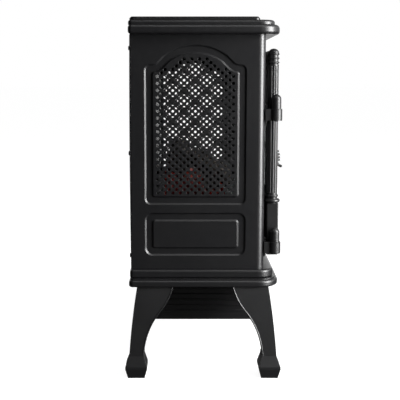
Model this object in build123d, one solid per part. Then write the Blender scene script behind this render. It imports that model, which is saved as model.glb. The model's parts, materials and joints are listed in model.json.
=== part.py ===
"""Free-standing electric stove on four legs, with a flame effect and a fan heater.

Millimetres. +Z is up, the stove's front faces -Y and +X is the side of the door's handle.
The pieces are laid out with y = 0 at the cabinet's front face and z = 0 on the floor, and
are moved at the end so that the origin is under the middle of the whole stove.
"""
from build123d import *
import math
import os

# ---------------------------------------------------------------- driving dimensions
leg_height = 150.0
body_width = 430.0
body_depth = 221.0
body_height = 388.0
sheet = 1.5                     # cabinet sheet steel
touch_gap = 0.3                 # between pieces that are seated side by side
run_gap = 0.05                  # radial, a shaft in its bore
press_gap = 0.02                # radial, a pin pressed into its bore

# top and base plates: two pressed layers each
front_overhang = 23.0
side_overhang = 14.0
back_overhang = 3.3
base_spread = 1.3               # how much further the base plate reaches than the top plate
plate_corner = 33.0
back_corner = 6.0
plate_wall = 2.0
layer_inset = 8.0
base_lower_height = 12.0
base_groove_height = 2.0
base_groove_inset = 3.5
base_upper_height = 14.0
top_flange_height = 15.5
top_step_height = 7.5
top_cap_height = 6.7
top_cap_inset = 31.5
top_cap_back_inset = 0.5
top_cap_corner = 8.0
pan_thickness = 2.0
rim_screw_margin = 32.25        # top plate's rear screws, from the cabinet's side

# legs: each outline is measured inwards from the foot's outer edge
foot_side_reach = 21.0          # foot beyond the base plate, at the sides
foot_front_reach = 3.1
foot_back_reach = 6.9
leg_top_outer = 19.0            # seen from the side
leg_side_top_outer = 24.9       # seen from the front
leg_top_width = 60.5
leg_outer_bow = 1.4
leg_knee_inner = 60.0
leg_knee_drop = 38.5            # below the leg's top
leg_knee_bow = 6.7
leg_haunch_bow = 2.4
ankle_outer = 6.4
ankle_width = 24.6
ankle_height = 37.0
foot_width = 36.0
foot_widest_height = 18.0
foot_band = 4.0                 # height of the upright band where the foot is widest
foot_sole_inset = 4.2
leg_wall = 4.0
leg_flange = 3.0
leg_bolt_radius = 3.0
leg_bolt_spread = 14.5
bolt_clearance = 0.2
bolt_head_height = 4.0
nut_height = 5.0
hex_reach = 5.4                 # centre to corner of a bolt's head and nut

# side panels
arch_spring_round = 18.0        # most that an arch's springings are rounded by
arch_hip_round = 1.5            # rounding at its hips, in hips
corner_radius = 12.0
front_return = 24.0
back_return = 14.0
emboss_shift = 4.6              # arch centre, behind the cabinet's middle
emboss_margin = 28.1            # arch edge, from half of the cabinet's depth
emboss_lift = 110.0             # above the base plate
emboss_shoulder_drop = 49.5     # below the cabinet's top
emboss_crown_drop = 18.0
emboss_shoulder_width = 16.4
emboss_hip = 15.0
emboss_corner = 9.0
channel_width = 11.8
channel_corner = 4.0
channel_depth = 2.4
channel_slope = 1.3             # half of the sloped wall's width
low_panel_lift = 24.0           # above the base plate
low_panel_height = 70.0
low_panel_corner = 11.6
hole_pitch_along = 12.39
hole_pitch_up = 11.26
hole_radius = 2.65
hole_row_drop = 7.2             # a full row, below the arch's shoulders
hole_side_margin = 6.6
hole_foot_margin = 5.0
hole_shoulder_drop = 6.0
hole_crown_drop = 18.0
hole_spring_inset = 20.0
hole_hip = 12.0
hole_field_corner = 10.0

# back cover
back_bulge = 1.0
vent_slot_length = 60.0
vent_slot_height = 4.0
vent_pitch = 10.0
vent_columns = 4
vent_side_margin = 37.0
low_vent_lift = 38.0
low_vent_rows = 5
high_vent_drop = 88.0
high_vent_rows = 6
screw_head_radius = 3.6
screw_head_height = 2.0
screw_shank_radius = 1.7
screw_shank_length = 6.0
screw_clearance = 0.3
thread_clearance = 0.1
screw_seat = 0.1                # under the head
back_screw_margin = 22.0
back_screw_edge = 8.0

# front frame and firebox
frame_border = 12.7
firebox_lift = 112.0            # floor of the firebox, above the base plate
mouth_drop = 36.0               # top of the mouth, below the cabinet's top
mouth_lip = 10.0
mouth_corner = 20.0
floor_thickness = 1.2
floor_window_inset = 10.0       # opening under the ember bed, inside its rim
strike_inset = 1.0

# door
door_gap = 5.5
door_side_gap = 18.7            # in from the cabinet's side
door_lift = 20.0                # above the base plate
door_drop = 22.0                # below the cabinet's top
column_radius = 8.75
column_proud = 0.6
panel_thickness = 8.5
flutes = 12
flute_radius = 1.6
flute_stand = 0.35              # flute centres, outside the shaft
flute_foot = 18.0
flute_head = 3.0
pedestal_proud = 1.7
pedestal_corner = 2.0
pedestal_drop = 4.0             # top of the pedestal, below the firebox floor
capital_height = 26.0
column_dome = 7.0
base_beads = ((4.5, 1.2, 3.4), (12.5, 0.0, 1.9))    # height, ring beyond the shaft, bead radius
cap_bead = 1.6
cap_bead_inset = 0.8
cap_bead_heights = (3.0, 10.0, 17.0)
stile_width = 46.3
window_lift = 2.0               # above the firebox floor
window_shoulder_drop = 111.0    # below the cabinet's top
window_crown_drop = 54.0
window_shoulder_width = 22.0
window_hip = 25.0
window_corner = 12.0
rail_margin = 4.0
rail_joint_drop = 20.0          # joint of rail and stile, below the window's shoulders
sill_joint_lift = 30.0
seam_margin = 4.0               # rails end beyond the glass
strip_overlap = 6.0
glass_thickness = 4.0
glass_overlap = 8.0
glass_clearance = 0.3
clip_width = 12.0
clip_length = 18.0
clip_thickness = 1.5
clip_over = 5.0
clip_margin = 15.0              # clips, from the ends of the glass's straight sides
clip_spread = 60.0              # lower clips, either side of the middle
rivet_radius = 3.0
rivet_height = 1.2

# hinges
hinge_inset = 8.0               # axis, in from the cabinet's side
hinge_forward = 3.15            # axis, ahead of the columns' middle
upper_hinge_drop = 99.0         # below the door's top
lower_hinge_lift = 25.0         # above the door's bottom
pin_radius = 3.0
bracket_radius = 9.9
bracket_height = 19.0
knuckle_radius = 8.1
knuckle_height = 24.0
knuckle_dome = 8.0
pin_above = 12.0
pin_below = 1.5
web_width = 10.0
hinge_plate_thickness = 2.5
hinge_plate_over = 7.0
hinge_screw_radius = 2.6
hinge_screw_height = 1.6
arm_height = 14.0
arm_thickness = 6.5
arm_saddle = 5.0                # how far the arm reaches round the column
arm_lift = 1.0
pin_end_gap = 0.5

# latch
latch_out = 15.0                # spindle, beyond the window's side
latch_lift = 160.0              # above the door's bottom
spindle_radius = 4.0
hub_radius = 8.0
hub_length = 7.0
hub_chamfer = 2.0
grip_radius = 3.0
grip_straight = 15.0
grip_bend = 28.0
grip_drop = 8.0
tip_flare = 9.0
tip_drop = 12.0
coil_wire = 2.1
coil_pitch = 5.7
coil_turns = 10
coil_start = 0.1                # first ring, in pitches
coil_gap = 0.1
tongue_length = 27.0
tongue_width = 9.0
tongue_thickness = 3.0
tongue_eye = 2.0
strike_thickness = 1.5
strike_height = 30.0

# controls, behind the door
tray_half = 80.0
tray_margin = 28.0              # tray, from the base plate and from the firebox floor
tray_depth = 18.0
fascia = 2.5
tray_wall = 2.0
knob_x = -45.0
knob_radius = 15.0
knob_depth = 12.0
knob_chamfer = 1.5
knob_ribs = 24
knob_rib_radius = 1.1
knob_rib_stand = 0.4
knob_skirt = 2.5                # plain rim behind the grip
knob_mark = 1.6
knob_spindle = 3.0
switch_xs = {"power": 15.0, "heat": 50.0}
rocker_length = 22.0
rocker_width = 13.0
rocker_gap = 0.3
rocker_end_gap = 0.7
rocker_dish = 1.2
rocker_foot = 2.0
rocker_tilt = 8.0
rocker_reach = 4.0
rocker_pivot = 3.0              # behind the tray's face
switch_depth = 18.0
switch_rim = 2.0
switch_gap = 0.2
switch_proud = 1.5
switch_well = 8.0
thermostat_half = 14.0
thermostat_depth = 20.0
stem_reach = 4.0                # spindle, beyond the tray
stem_clearance = 0.5
terminal_length = 50.0
terminal_depth = 18.0
terminal_height = 16.0
terminal_y = 60.0
terminal_ways = 4
terminal_pitch = 12.5
terminal_bore = 2.2

# log set
bed_screen_gap = 17.0
bed_depth = 105.0
bed_brow = 23.0                 # level part at the bed's front
bed_low = 9.0
bed_high = 48.0
bed_lip = 4.0
bed_wall = 3.0
log_seat = 0.5                  # how far the back log is bedded in
log_back_radius = 21.0
log_back_inset = 24.0           # from the bed's back
log_back_margin = 13.0          # short of the bed's end
log_front_radius = 16.0
log_front_inset = 22.0          # from the bed's front
log_front_margin = 30.0
log_front_rise = 13.3           # half log, above the bed
log_cross_radius = 11.5
log_cross_overhang = 34.0       # ahead of the front log
log_cross_lean = 29.3           # degrees
log_cross_places = {"left": (-79.0, 22.0), "middle": (7.0, -20.0), "right": (85.0, 25.0)}    # x, slant

# flame effect
screen_back_gap = 37.0
screen_thickness = 3.0
screen_head_gap = 6.0
reflector_back_gap = 9.0
reflector_side_gap = 10.0
reflector_thickness = 0.8
reflector_drop = 46.0           # below the cabinet's top
lick_pitch = 34.0
lick_width = 18.0
lick_lean = 2.0
lick_lift = 30.0
lick_head_gap = 50.0
lick_step = 9.0                 # how much shorter each flame is than the one before it
rod_behind_screen = 12.0
rod_drop = 28.0                 # below the firebox floor
rod_radius = 2.0
flag_reach = 10.0
flag_length = 16.0
flag_pitch = 20.0
flag_thickness = 0.6
flag_turn = 60.0
flag_end_margin = 20.0
flicker_motor_radius = 19.0
flicker_motor_length = 16.0
bracket_sheet = 1.5
bracket_inset = 8.0
bracket_foot = 14.0
bracket_head = 10.0
bracket_edge = 4.0              # in from the board's edges
rod_end_gap = 1.0
board_lift = 44.0               # above the base plate
board_thickness = 1.6
board_inset = 10.0
board_depth = 40.0
board_post_inset = 8.0
board_post_radius = 3.0
lamp_radius = 2.5
lamp_height = 5.0
lamp_count = 12
lamp_end_margin = 20.0
lamp_rows = (8.0, -10.0)        # either side of the flicker rod

# heater, slung under the base
heater_leg_gap = 24.6
heater_depth = 180.0
heater_forward = 8.5            # middle of the heater, ahead of the cabinet's
heater_sheet = 1.2
rib_rows = 6
rib_pitch = 10.0
rib_lift = 16.0
rib_radius = 2.5
rib_sink = 1.5
rib_margin = 16.0
louvre_rows = 5
louvre_height = 3.0
louvre_length = 50.0
louvre_pitch = 9.0
louvre_lift = 17.0
louvre_gap = 10.0
louvre_margin = 25.0
outlet_side_inset = 30.0
outlet_lift = 13.0
outlet_drop = 12.0
grille_depth = 3.0
grille_bars = 6
grille_bar = 2.0
grille_rim = 6.0
grille_upright = 3.0
wheel_radius = 25.0
wheel_inset = 18.0              # wheel's end, from the outlet's side
wheel_back_gap = 26.5
wheel_blades = 18
blade_thickness = 0.8
blade_width = 8.0
wheel_disc = 1.5
wheel_end_gap = 4.0
shaft_radius = 2.5
shaft_stub = 10.0
scroll_gap = 5.0
scroll_foot_gap = 3.8
scroll_head_gap = 13.0
scroll_start = 4.0              # its ends, behind the wheel's axis
frame_plate = 2.0
frame_front = 6.0
frame_back = 14.0
blower_motor_size = 44.0
blower_motor_length = 26.0
blower_motor_corner = 5.0
element_front_gap = 30.0
element_inset = 12.0            # element's end, from the outlet's side
element_margin = 5.5
element_depth = 12.0
element_plate = 3.0
element_rail = 2.0
element_rail_height = 5.0
element_lug = 8.0
element_lug_inset = 5.0
element_coil_margin = 8.5
element_coils = 4
element_coil_radius = 2.4
cutout_x = 30.0
cutout_radius = 7.0
cutout_depth = 6.0
cutout_lift = 1.5
gland_inset = 40.0
gland_lift = 33.0
gland_bore = 3.8
gland_radius = 7.0
gland_flange_radius = 10.0
gland_flange = 3.0
gland_reach = 8.0
gland_nut = 5.0
gland_inside = 8.0

# ---------------------------------------------------------------- derived places
half_width = body_width / 2
base_height = base_lower_height + base_groove_height + base_upper_height
body_bottom = leg_height + base_height
body_top = body_bottom + body_height
return_edge = half_width - front_return
foot_half_width = half_width + side_overhang + foot_side_reach

emboss_y = body_depth / 2 + emboss_shift
emboss_half = body_depth / 2 - emboss_margin
emboss_bottom = body_bottom + emboss_lift
emboss_shoulder = body_top - emboss_shoulder_drop
emboss_crown = body_top - emboss_crown_drop
emboss_spring = emboss_half - emboss_shoulder_width

firebox_floor_z = body_bottom + firebox_lift
mouth_top = body_top - mouth_drop
bed_top = firebox_floor_z + floor_thickness     # what the ember bed stands on
control_top = firebox_floor_z - mouth_lip - touch_gap

door_half_width = half_width - door_side_gap
door_bottom = body_bottom + door_lift
door_top = body_top - door_drop
door_back = -door_gap
door_face = door_back - panel_thickness
column_y = door_back - column_radius - column_proud
column_x = door_half_width - column_radius
pedestal_top = firebox_floor_z - pedestal_drop
shaft_top = door_top - capital_height
window_half = door_half_width - stile_width
window_bottom = firebox_floor_z + window_lift
window_shoulder = body_top - window_shoulder_drop
window_crown = body_top - window_crown_drop
window_spring = window_half - window_shoulder_width

hinge_x = -half_width + hinge_inset
hinge_y = column_y - hinge_forward
hinge_heights = {"upper": door_top - upper_hinge_drop, "lower": door_bottom + lower_hinge_lift}

latch_x = window_half + latch_out
latch_z = door_bottom + latch_lift
spindle_front = door_face - touch_gap
tongue_front = sheet + strike_thickness + touch_gap
tongue_back = tongue_front + tongue_thickness

tray_bottom = body_bottom + tray_margin
tray_top = firebox_floor_z - tray_margin
tray_middle = (tray_bottom + tray_top) / 2
tray_face = tray_depth - tray_wall

screen_y = body_depth - screen_back_gap
reflector_y = body_depth - reflector_back_gap
reflector_top = body_top - reflector_drop
bed_half = window_half
bed_back = screen_y - bed_screen_gap
bed_front = bed_back - bed_depth
bed_slope_front = bed_front + bed_brow
bed_slope = (bed_high - bed_low) / (bed_back - bed_slope_front)
bed_lift = math.hypot(1, bed_slope)     # height of a unit of thickness on the slope
log_back_y = bed_back - log_back_inset
log_front_y = bed_front + log_front_inset
rod_half = window_half
flicker_y = screen_y + rod_behind_screen
flicker_z = firebox_floor_z - rod_drop
board_z = body_bottom + board_lift
board_half = window_half - board_inset

scroll_radius = wheel_radius + scroll_gap
heater_height = (heater_sheet + scroll_foot_gap + 2 * (scroll_radius + frame_plate) + scroll_head_gap)
heater_bottom = leg_height - heater_height
heater_half = foot_half_width - leg_side_top_outer - leg_top_width - heater_leg_gap
heater_front = body_depth / 2 - heater_forward - heater_depth / 2
heater_back = heater_front + heater_depth
outlet_half = heater_half - outlet_side_inset
outlet_bottom = heater_bottom + outlet_lift
outlet_top = leg_height - outlet_drop
wheel_half = outlet_half - wheel_inset
wheel_y = heater_back - wheel_back_gap - wheel_radius
wheel_z = heater_bottom + heater_sheet + scroll_foot_gap + frame_plate + scroll_radius
element_half = outlet_half - element_inset
element_y = heater_front + element_front_gap
gland_x = heater_half - gland_inset
gland_z = heater_bottom + gland_lift
parts = {}


# ---------------------------------------------------------------- helpers
def block(x0, x1, y0, y1, z0, z1):
    return Pos((x0 + x1) / 2, (y0 + y1) / 2, (z0 + z1) / 2) * Box(x1 - x0, y1 - y0, z1 - z0)


def rod_x(x0, x1, y, z, radius):
    return Pos((x0 + x1) / 2, y, z) * Rot(0, 90, 0) * Cylinder(radius, x1 - x0)


def rod_y(x, y0, y1, z, radius):
    return Pos(x, (y0 + y1) / 2, z) * Rot(90, 0, 0) * Cylinder(radius, y1 - y0)


def rod_z(x, y, z0, z1, radius):
    return Pos(x, y, (z0 + z1) / 2) * Cylinder(radius, z1 - z0)


def bead(x, y, z, ring_radius, wire_radius):
    return Pos(x, y, z) * Torus(ring_radius, wire_radius)


def other_side(shape):
    return mirror(shape, about=Plane.YZ)


def arch_face(half, bottom, shoulder, crown, spring, hip, corner):
    """Upright panel outline, centred on x = 0: square foot, two shoulders and a round crown."""
    hip_x = spring - hip
    hip_z = shoulder + hip
    right = Polyline((hip_x, hip_z), (spring, shoulder), (half, shoulder), (half, bottom),
                     (-half, bottom), (-half, shoulder), (-spring, shoulder), (-hip_x, hip_z))
    crown_arc = ThreePointArc((-hip_x, hip_z), (0, crown), (hip_x, hip_z))
    face = make_face(right + crown_arc)
    outer = [v for v in face.vertices() if abs(v.X) > half - 0.01]
    face = fillet(outer, corner)
    springs = [v for v in face.vertices() if abs(abs(v.X) - spring) < 0.01]
    face = fillet(springs, min(arch_spring_round, hip))
    hips = [v for v in face.vertices() if abs(abs(v.X) - hip_x) < 0.01]
    return fillet(hips, arch_hip_round * hip)


def rounded_face(x0, x1, z0, z1, corner):
    return Pos((x0 + x1) / 2, (z0 + z1) / 2) * RectangleRounded(x1 - x0, z1 - z0, corner)


def dome_z(x, y, z, radius, height):
    """Half of a flattened ball, standing on z."""
    ball = Pos(x, y, z) * scale(Sphere(radius), by=(1, 1, height / radius))
    return ball & block(x - 2 * radius, x + 2 * radius, y - 2 * radius, y + 2 * radius, z, z + 2 * height)


def screw(x, y, z, turn):
    """Pan head screw; its head stands towards +Z before the turn."""
    head = Pos(0, 0, screw_head_height / 2) * Cylinder(screw_head_radius, screw_head_height)
    head = fillet(head.edges().group_by(Axis.Z)[-1], 0.45 * screw_head_height)
    shank = Pos(0, 0, -screw_shank_length / 2) * Cylinder(screw_shank_radius, screw_shank_length)
    return Pos(x, y, z) * turn * (head + shank)


# ---------------------------------------------------------------- top and base plates
def plate_face(inset, back_inset, least_corner):
    """Plan of a plate layer: large round front corners, small back ones."""
    half = half_width + side_overhang - inset
    front = -front_overhang + inset
    back = body_depth + back_overhang - back_inset
    face = Pos(0, (front + back) / 2) * Rectangle(2 * half, back - front)
    corners = face.vertices().sort_by(Axis.Y)
    face = fillet(corners[:2], max(plate_corner - inset, least_corner))
    corners = face.vertices().sort_by(Axis.Y)[-2:]
    return fillet(corners, max(back_corner - back_inset, least_corner))


def plate_layer(inset, z0, z1, back_inset=0.0, least_corner=1.0):
    return extrude(Pos(0, 0, z0) * plate_face(inset, back_inset, least_corner), z1 - z0)


def round_edges(shape, z, radius):
    edges = [e for e in shape.edges() if abs(e.center().Z - z) < 0.01]
    return fillet(edges, radius)


def make_base():
    lower_top_z = leg_height + base_lower_height
    upper_z = lower_top_z + base_groove_height
    rim = -base_spread
    lower = plate_layer(rim, leg_height, lower_top_z, rim)
    lower = round_edges(lower, leg_height, 0.25 * base_lower_height)
    lower = round_edges(lower, lower_top_z, 0.4 * base_lower_height)
    groove = plate_layer(rim + base_groove_inset, lower_top_z, upper_z, 1.0)
    upper = plate_layer(rim + layer_inset, upper_z, body_bottom)
    upper = round_edges(upper, upper_z, 0.2 * base_upper_height)
    upper = round_edges(upper, body_bottom, 0.3 * base_upper_height)
    inner = rim + plate_wall
    hollow = plate_layer(inner, leg_height, lower_top_z - plate_wall, inner)
    deep = plate_layer(inner + layer_inset, leg_height, body_bottom - plate_wall, plate_wall)
    parts["base_plate"] = lower + groove + upper - hollow - deep
    edge = inner + touch_gap
    parts["base_pan"] = plate_layer(edge, leg_height, leg_height + pan_thickness, edge)


def make_top():
    flange_top = body_top + top_flange_height
    step_top = flange_top + top_step_height
    flange = plate_layer(0, body_top, flange_top)
    flange = round_edges(flange, body_top, 0.3 * top_flange_height)
    flange = round_edges(flange, flange_top, 0.4 * top_flange_height)
    step = plate_layer(layer_inset, flange_top, step_top)
    step = round_edges(step, step_top, 0.6 * top_step_height)
    hollow = plate_layer(plate_wall, body_top + plate_wall, flange_top - plate_wall, plate_wall)
    deep = plate_layer(layer_inset + plate_wall, body_top + plate_wall, step_top - plate_wall, plate_wall)
    mouth = block(-half_width + back_return, half_width - back_return, back_return,
                  body_depth - back_return, body_top, body_top + plate_wall)
    parts["top_plate"] = flange + step - hollow - deep - mouth
    cap_top = step_top + top_cap_height
    cap = plate_layer(top_cap_inset, step_top, cap_top, top_cap_back_inset, top_cap_corner)
    top_edges = [e for e in cap.edges() if abs(e.center().Z - cap_top) < 0.01]
    cap = chamfer(top_edges, 0.4 * top_cap_height)
    cap_wall = plate_wall + 1
    inner = plate_layer(top_cap_inset + cap_wall, step_top, cap_top - plate_wall,
                        top_cap_back_inset + cap_wall)
    parts["top_cap"] = cap - inner


# ---------------------------------------------------------------- legs
def leg_face(top_outer):
    """Silhouette of a leg: u is measured inwards from the foot's outer edge, w is the height."""
    knee = (leg_knee_inner, leg_height - leg_knee_drop)
    top_inner = (top_outer + leg_top_width, leg_height)
    ankle_in = (ankle_outer + ankle_width, ankle_height)
    ankle_out = (ankle_outer, ankle_height)
    band_low = foot_widest_height - foot_band / 2
    band_high = foot_widest_height + foot_band / 2
    outline = SagittaArc((top_outer, leg_height), ankle_out, -leg_outer_bow)
    outline += Polyline(ankle_out, (0, band_high), (0, band_low), (foot_sole_inset, 0),
                        (foot_width - foot_sole_inset, 0), (foot_width, band_low),
                        (foot_width, band_high), ankle_in)
    outline += SagittaArc(ankle_in, knee, leg_knee_bow)
    outline += SagittaArc(knee, top_inner, -leg_haunch_bow)
    outline += Line(top_inner, (top_outer, leg_height))
    return make_face(outline)


def leg_core_face(top_outer):
    """What is hollowed out behind the two wings, above the ankle and under the flange."""
    top = leg_height - leg_flange
    low = ankle_height + leg_wall
    far = top_outer + 1.5 * leg_top_width
    high_point = (top_outer + leg_wall, top)
    low_point = (ankle_outer + leg_wall, low)
    skin = SagittaArc(high_point, low_point, -leg_outer_bow)
    return make_face(skin + Polyline(low_point, (far, low), (far, top), high_point))


def both_ways(side_view, front_view):
    """The solid whose upright silhouettes, seen along X and along Y, are these faces."""
    span = 2 * (leg_side_top_outer + 1.5 * leg_top_width)
    along_y = extrude(Plane.XZ * front_view, span / 2, both=True)
    along_x = extrude(Plane.YZ * side_view, span / 2, both=True)
    return along_y & along_x


def make_legs():
    """Built with its outer corner at the origin and x, y pointing inwards, then placed."""
    leg = both_ways(leg_face(leg_top_outer), leg_face(leg_side_top_outer))
    leg = leg - both_ways(leg_core_face(leg_top_outer), leg_core_face(leg_side_top_outer))
    front = -front_overhang - foot_front_reach
    back = body_depth + back_overhang + foot_back_reach
    left_front = Pos(-foot_half_width, front, 0) * leg
    left_rear = Pos(-foot_half_width, back, 0) * mirror(leg, about=Plane.XZ)
    bolt_x = -foot_half_width + leg_side_top_outer + leg_top_width / 2
    bolt_in = leg_top_outer + leg_top_width / 2
    bolts = []
    for name, solid, corner_y, way in (("front", left_front, front, 1), ("rear", left_rear, back, -1)):
        for turn in (1, -1):
            x = bolt_x + turn * leg_bolt_spread
            y = corner_y + way * (bolt_in - turn * leg_bolt_spread)
            hole = rod_z(x, y, leg_height - 3 * leg_flange, leg_height + pan_thickness,
                         leg_bolt_radius + bolt_clearance)
            solid = solid - hole
            parts["base_pan"] = parts["base_pan"] - hole - other_side(hole)
            bolts.append(leg_bolt(x, y))
            bolts.append(leg_bolt(-x, y))
        parts[f"leg_{name}_left"] = solid
        parts[f"leg_{name}_right"] = other_side(solid)
    parts["leg_bolts"] = bolts


def leg_bolt(x, y):
    """Hex bolt through the leg's flange and the base pan, with its nut."""
    head_z = leg_height - leg_flange - bolt_head_height
    nut_z = leg_height + pan_thickness
    head = extrude(Pos(x, y, head_z) * RegularPolygon(hex_reach, 6), bolt_head_height)
    nut = extrude(Pos(x, y, nut_z) * RegularPolygon(hex_reach, 6), nut_height)
    return head + nut + rod_z(x, y, head_z, nut_z + nut_height + 1, leg_bolt_radius)


# ---------------------------------------------------------------- side panels
def side_section():
    """Plan of the right panel's sheet: back return, side, round front corner, front return."""
    out = half_width
    inn = half_width - sheet
    bend = corner_radius
    outer_mid = bend * (1 - math.sqrt(0.5))
    inner_mid = sheet + (bend - sheet) * (1 - math.sqrt(0.5))
    section = Polyline((out - back_return, body_depth), (out, body_depth), (out, bend))
    section += ThreePointArc((out, bend), (out - outer_mid, outer_mid), (out - bend, 0))
    section += Polyline((out - bend, 0), (return_edge, 0), (return_edge, sheet), (out - bend, sheet))
    section += ThreePointArc((out - bend, sheet), (out - inner_mid, inner_mid), (inn, bend))
    section += Polyline((inn, bend), (inn, body_depth - sheet), (out - back_return, body_depth - sheet),
                        (out - back_return, body_depth))
    return make_face(section)


def channel(outline, inner):
    """A pressed channel between two outlines: what is added behind, and what is cut in front."""
    back_plane = Plane.YZ.offset(half_width - sheet - channel_depth)
    face_plane = Plane(origin=(half_width, 0, 0), x_dir=(0, 1, 0), z_dir=(-1, 0, 0))
    wide = offset(outline, channel_slope)
    narrow = offset(inner, -channel_slope)
    pad = extrude(back_plane * (offset(wide, sheet / 2) - offset(narrow, -sheet / 2)), channel_depth)
    slope = math.degrees(math.atan(2 * channel_slope / channel_depth))
    pocket = extrude(face_plane * mirror(wide, about=Plane.XZ), channel_depth, taper=slope)
    island = extrude(face_plane * mirror(narrow, about=Plane.XZ), channel_depth, taper=-slope)
    return pad, pocket - island


def hole_places():
    """Centres of the staggered holes that lie inside the arched field."""
    half = emboss_half - channel_width - hole_side_margin
    low = emboss_bottom + channel_width
    full_row = emboss_shoulder - hole_row_drop
    field = arch_face(half, low, emboss_shoulder - hole_shoulder_drop, emboss_crown - hole_crown_drop,
                      emboss_spring - hole_spring_inset, hole_hip, hole_field_corner).faces()[0]
    rise = hole_pitch_up / 2
    above = int((emboss_crown - full_row) / rise)
    below = int((full_row - low - hole_foot_margin) / rise)
    reach = int(half / hole_pitch_along) + 1
    places = []
    for row in range(-above, below + 1):
        z = full_row - row * rise
        shift = hole_pitch_along / 2 * (row % 2)
        for step in range(-reach, reach + 1):
            u = shift + step * hole_pitch_along
            if field.is_inside((u, z, 0)):
                places.append((u, z))
    return places


def make_sides():
    panel = extrude(Pos(0, 0, body_bottom) * side_section(), body_height)
    arch = Pos(emboss_y, 0) * arch_face(emboss_half, emboss_bottom, emboss_shoulder, emboss_crown,
                                        emboss_spring, emboss_hip, emboss_corner)
    inner_half = emboss_half - channel_width
    arch_inner = offset(arch, -channel_width)
    corners = [v for v in arch_inner.vertices() if abs(abs(v.X - emboss_y) - inner_half) < 0.01]
    arch_inner = fillet(corners, channel_corner)
    low = body_bottom + low_panel_lift
    high = low + low_panel_height
    plain = rounded_face(emboss_y - emboss_half, emboss_y + emboss_half, low, high, low_panel_corner)
    plain_inner = rounded_face(emboss_y - inner_half, emboss_y + inner_half, low + channel_width,
                               high - channel_width, channel_corner)
    for outer, inner in ((arch, arch_inner), (plain, plain_inner)):
        pad, cut = channel(outer, inner)
        panel = panel + pad - cut
    drill = [rod_x(half_width - 3 * sheet, half_width + sheet, emboss_y + u, z, hole_radius)
             for u, z in hole_places()]
    panel = panel - drill
    parts["right_side_panel"] = panel
    parts["left_side_panel"] = other_side(panel)


# ---------------------------------------------------------------- back cover
def make_back():
    mid = (body_bottom + body_top) / 2
    low = body_bottom + touch_gap
    high = body_top - touch_gap
    y = body_depth
    outer = ThreePointArc((y + sheet, low), (y + sheet + back_bulge, mid), (y + sheet, high))
    inner = ThreePointArc((y, high), (y + back_bulge, mid), (y, low))
    ends = Line((y + sheet, high), (y, high)) + Line((y, low), (y + sheet, low))
    section = make_face(outer + inner + ends)
    cover = extrude(Plane.YZ * section, half_width - touch_gap, both=True)
    slots = []
    across = (body_width - 2 * vent_side_margin) / vent_columns
    rows = [body_bottom + low_vent_lift + row * vent_pitch for row in range(low_vent_rows)]
    rows += [body_top - high_vent_drop + row * vent_pitch for row in range(high_vent_rows)]
    for z in rows:
        for column in range(vent_columns):
            x = (column - (vent_columns - 1) / 2) * across
            slots.append(Pos(x, y, z) * Box(vent_slot_length, 20 * sheet, vent_slot_height))
    cover = cover - slots
    spots = []
    reach = half_width - back_screw_edge
    for x in (-reach, reach):
        for z in (body_bottom + back_screw_margin, mid, body_top - back_screw_margin):
            spots.append((x, z))
    for x in (-reach / 3, reach / 3):
        spots.append((x, body_bottom + back_screw_edge))
        spots.append((x, body_top - back_screw_edge))
    screws = []
    for x, z in spots:
        bulge = back_bulge * (1 - ((z - mid) / (high - mid)) ** 2)
        screws.append(screw(x, y + sheet + bulge + screw_seat, z, Rot(-90, 0, 0)))
        cover = cover - rod_y(x, y - sheet, y + 3 * sheet + back_bulge, z,
                              screw_shank_radius + screw_clearance)
        for name in ("left_side_panel", "right_side_panel"):
            if abs(x) == reach and (x > 0) == name.startswith("right"):
                parts[name] = parts[name] - rod_y(x, y - 3 * sheet, y + sheet, z,
                                                  screw_shank_radius + thread_clearance)
    parts["back_cover"] = cover
    top_z = body_top + top_flange_height / 2
    rim = body_depth + back_overhang
    rim_x = half_width - rim_screw_margin
    for x in (-rim_x, 0, rim_x):
        screws.append(screw(x, rim, top_z, Rot(-90, 0, 0)))
        parts["top_plate"] = parts["top_plate"] - rod_y(x, rim - 2 * plate_wall, rim + 1, top_z,
                                                        screw_shank_radius + thread_clearance)
    parts["cover_screws"] = screws


# ---------------------------------------------------------------- front frame, floor
def make_front():
    edge = return_edge - touch_gap
    frame = block(-edge, edge, 0, sheet, firebox_floor_z - mouth_lip, body_top - touch_gap)
    mouth = rounded_face(-edge + frame_border, edge - frame_border, firebox_floor_z + mouth_lip,
                         mouth_top, mouth_corner)
    frame = frame - extrude(Plane.XZ.offset(-2 * sheet) * mouth, 4 * sheet)
    parts["front_frame"] = frame
    inside = half_width - sheet - touch_gap
    floor = block(-inside + channel_depth, inside - channel_depth, corner_radius, screen_y - touch_gap,
                  firebox_floor_z, bed_top)
    window = block(-bed_half + floor_window_inset, bed_half - floor_window_inset,
                   bed_front + floor_window_inset, bed_back - floor_window_inset,
                   firebox_floor_z - 1, bed_top + 1)
    parts["firebox_floor"] = floor - window
    parts["strike_plate"] = block(edge - frame_border + strike_inset, edge, sheet, sheet + strike_thickness,
                                  latch_z - strike_height / 2, latch_z + strike_height / 2)


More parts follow.
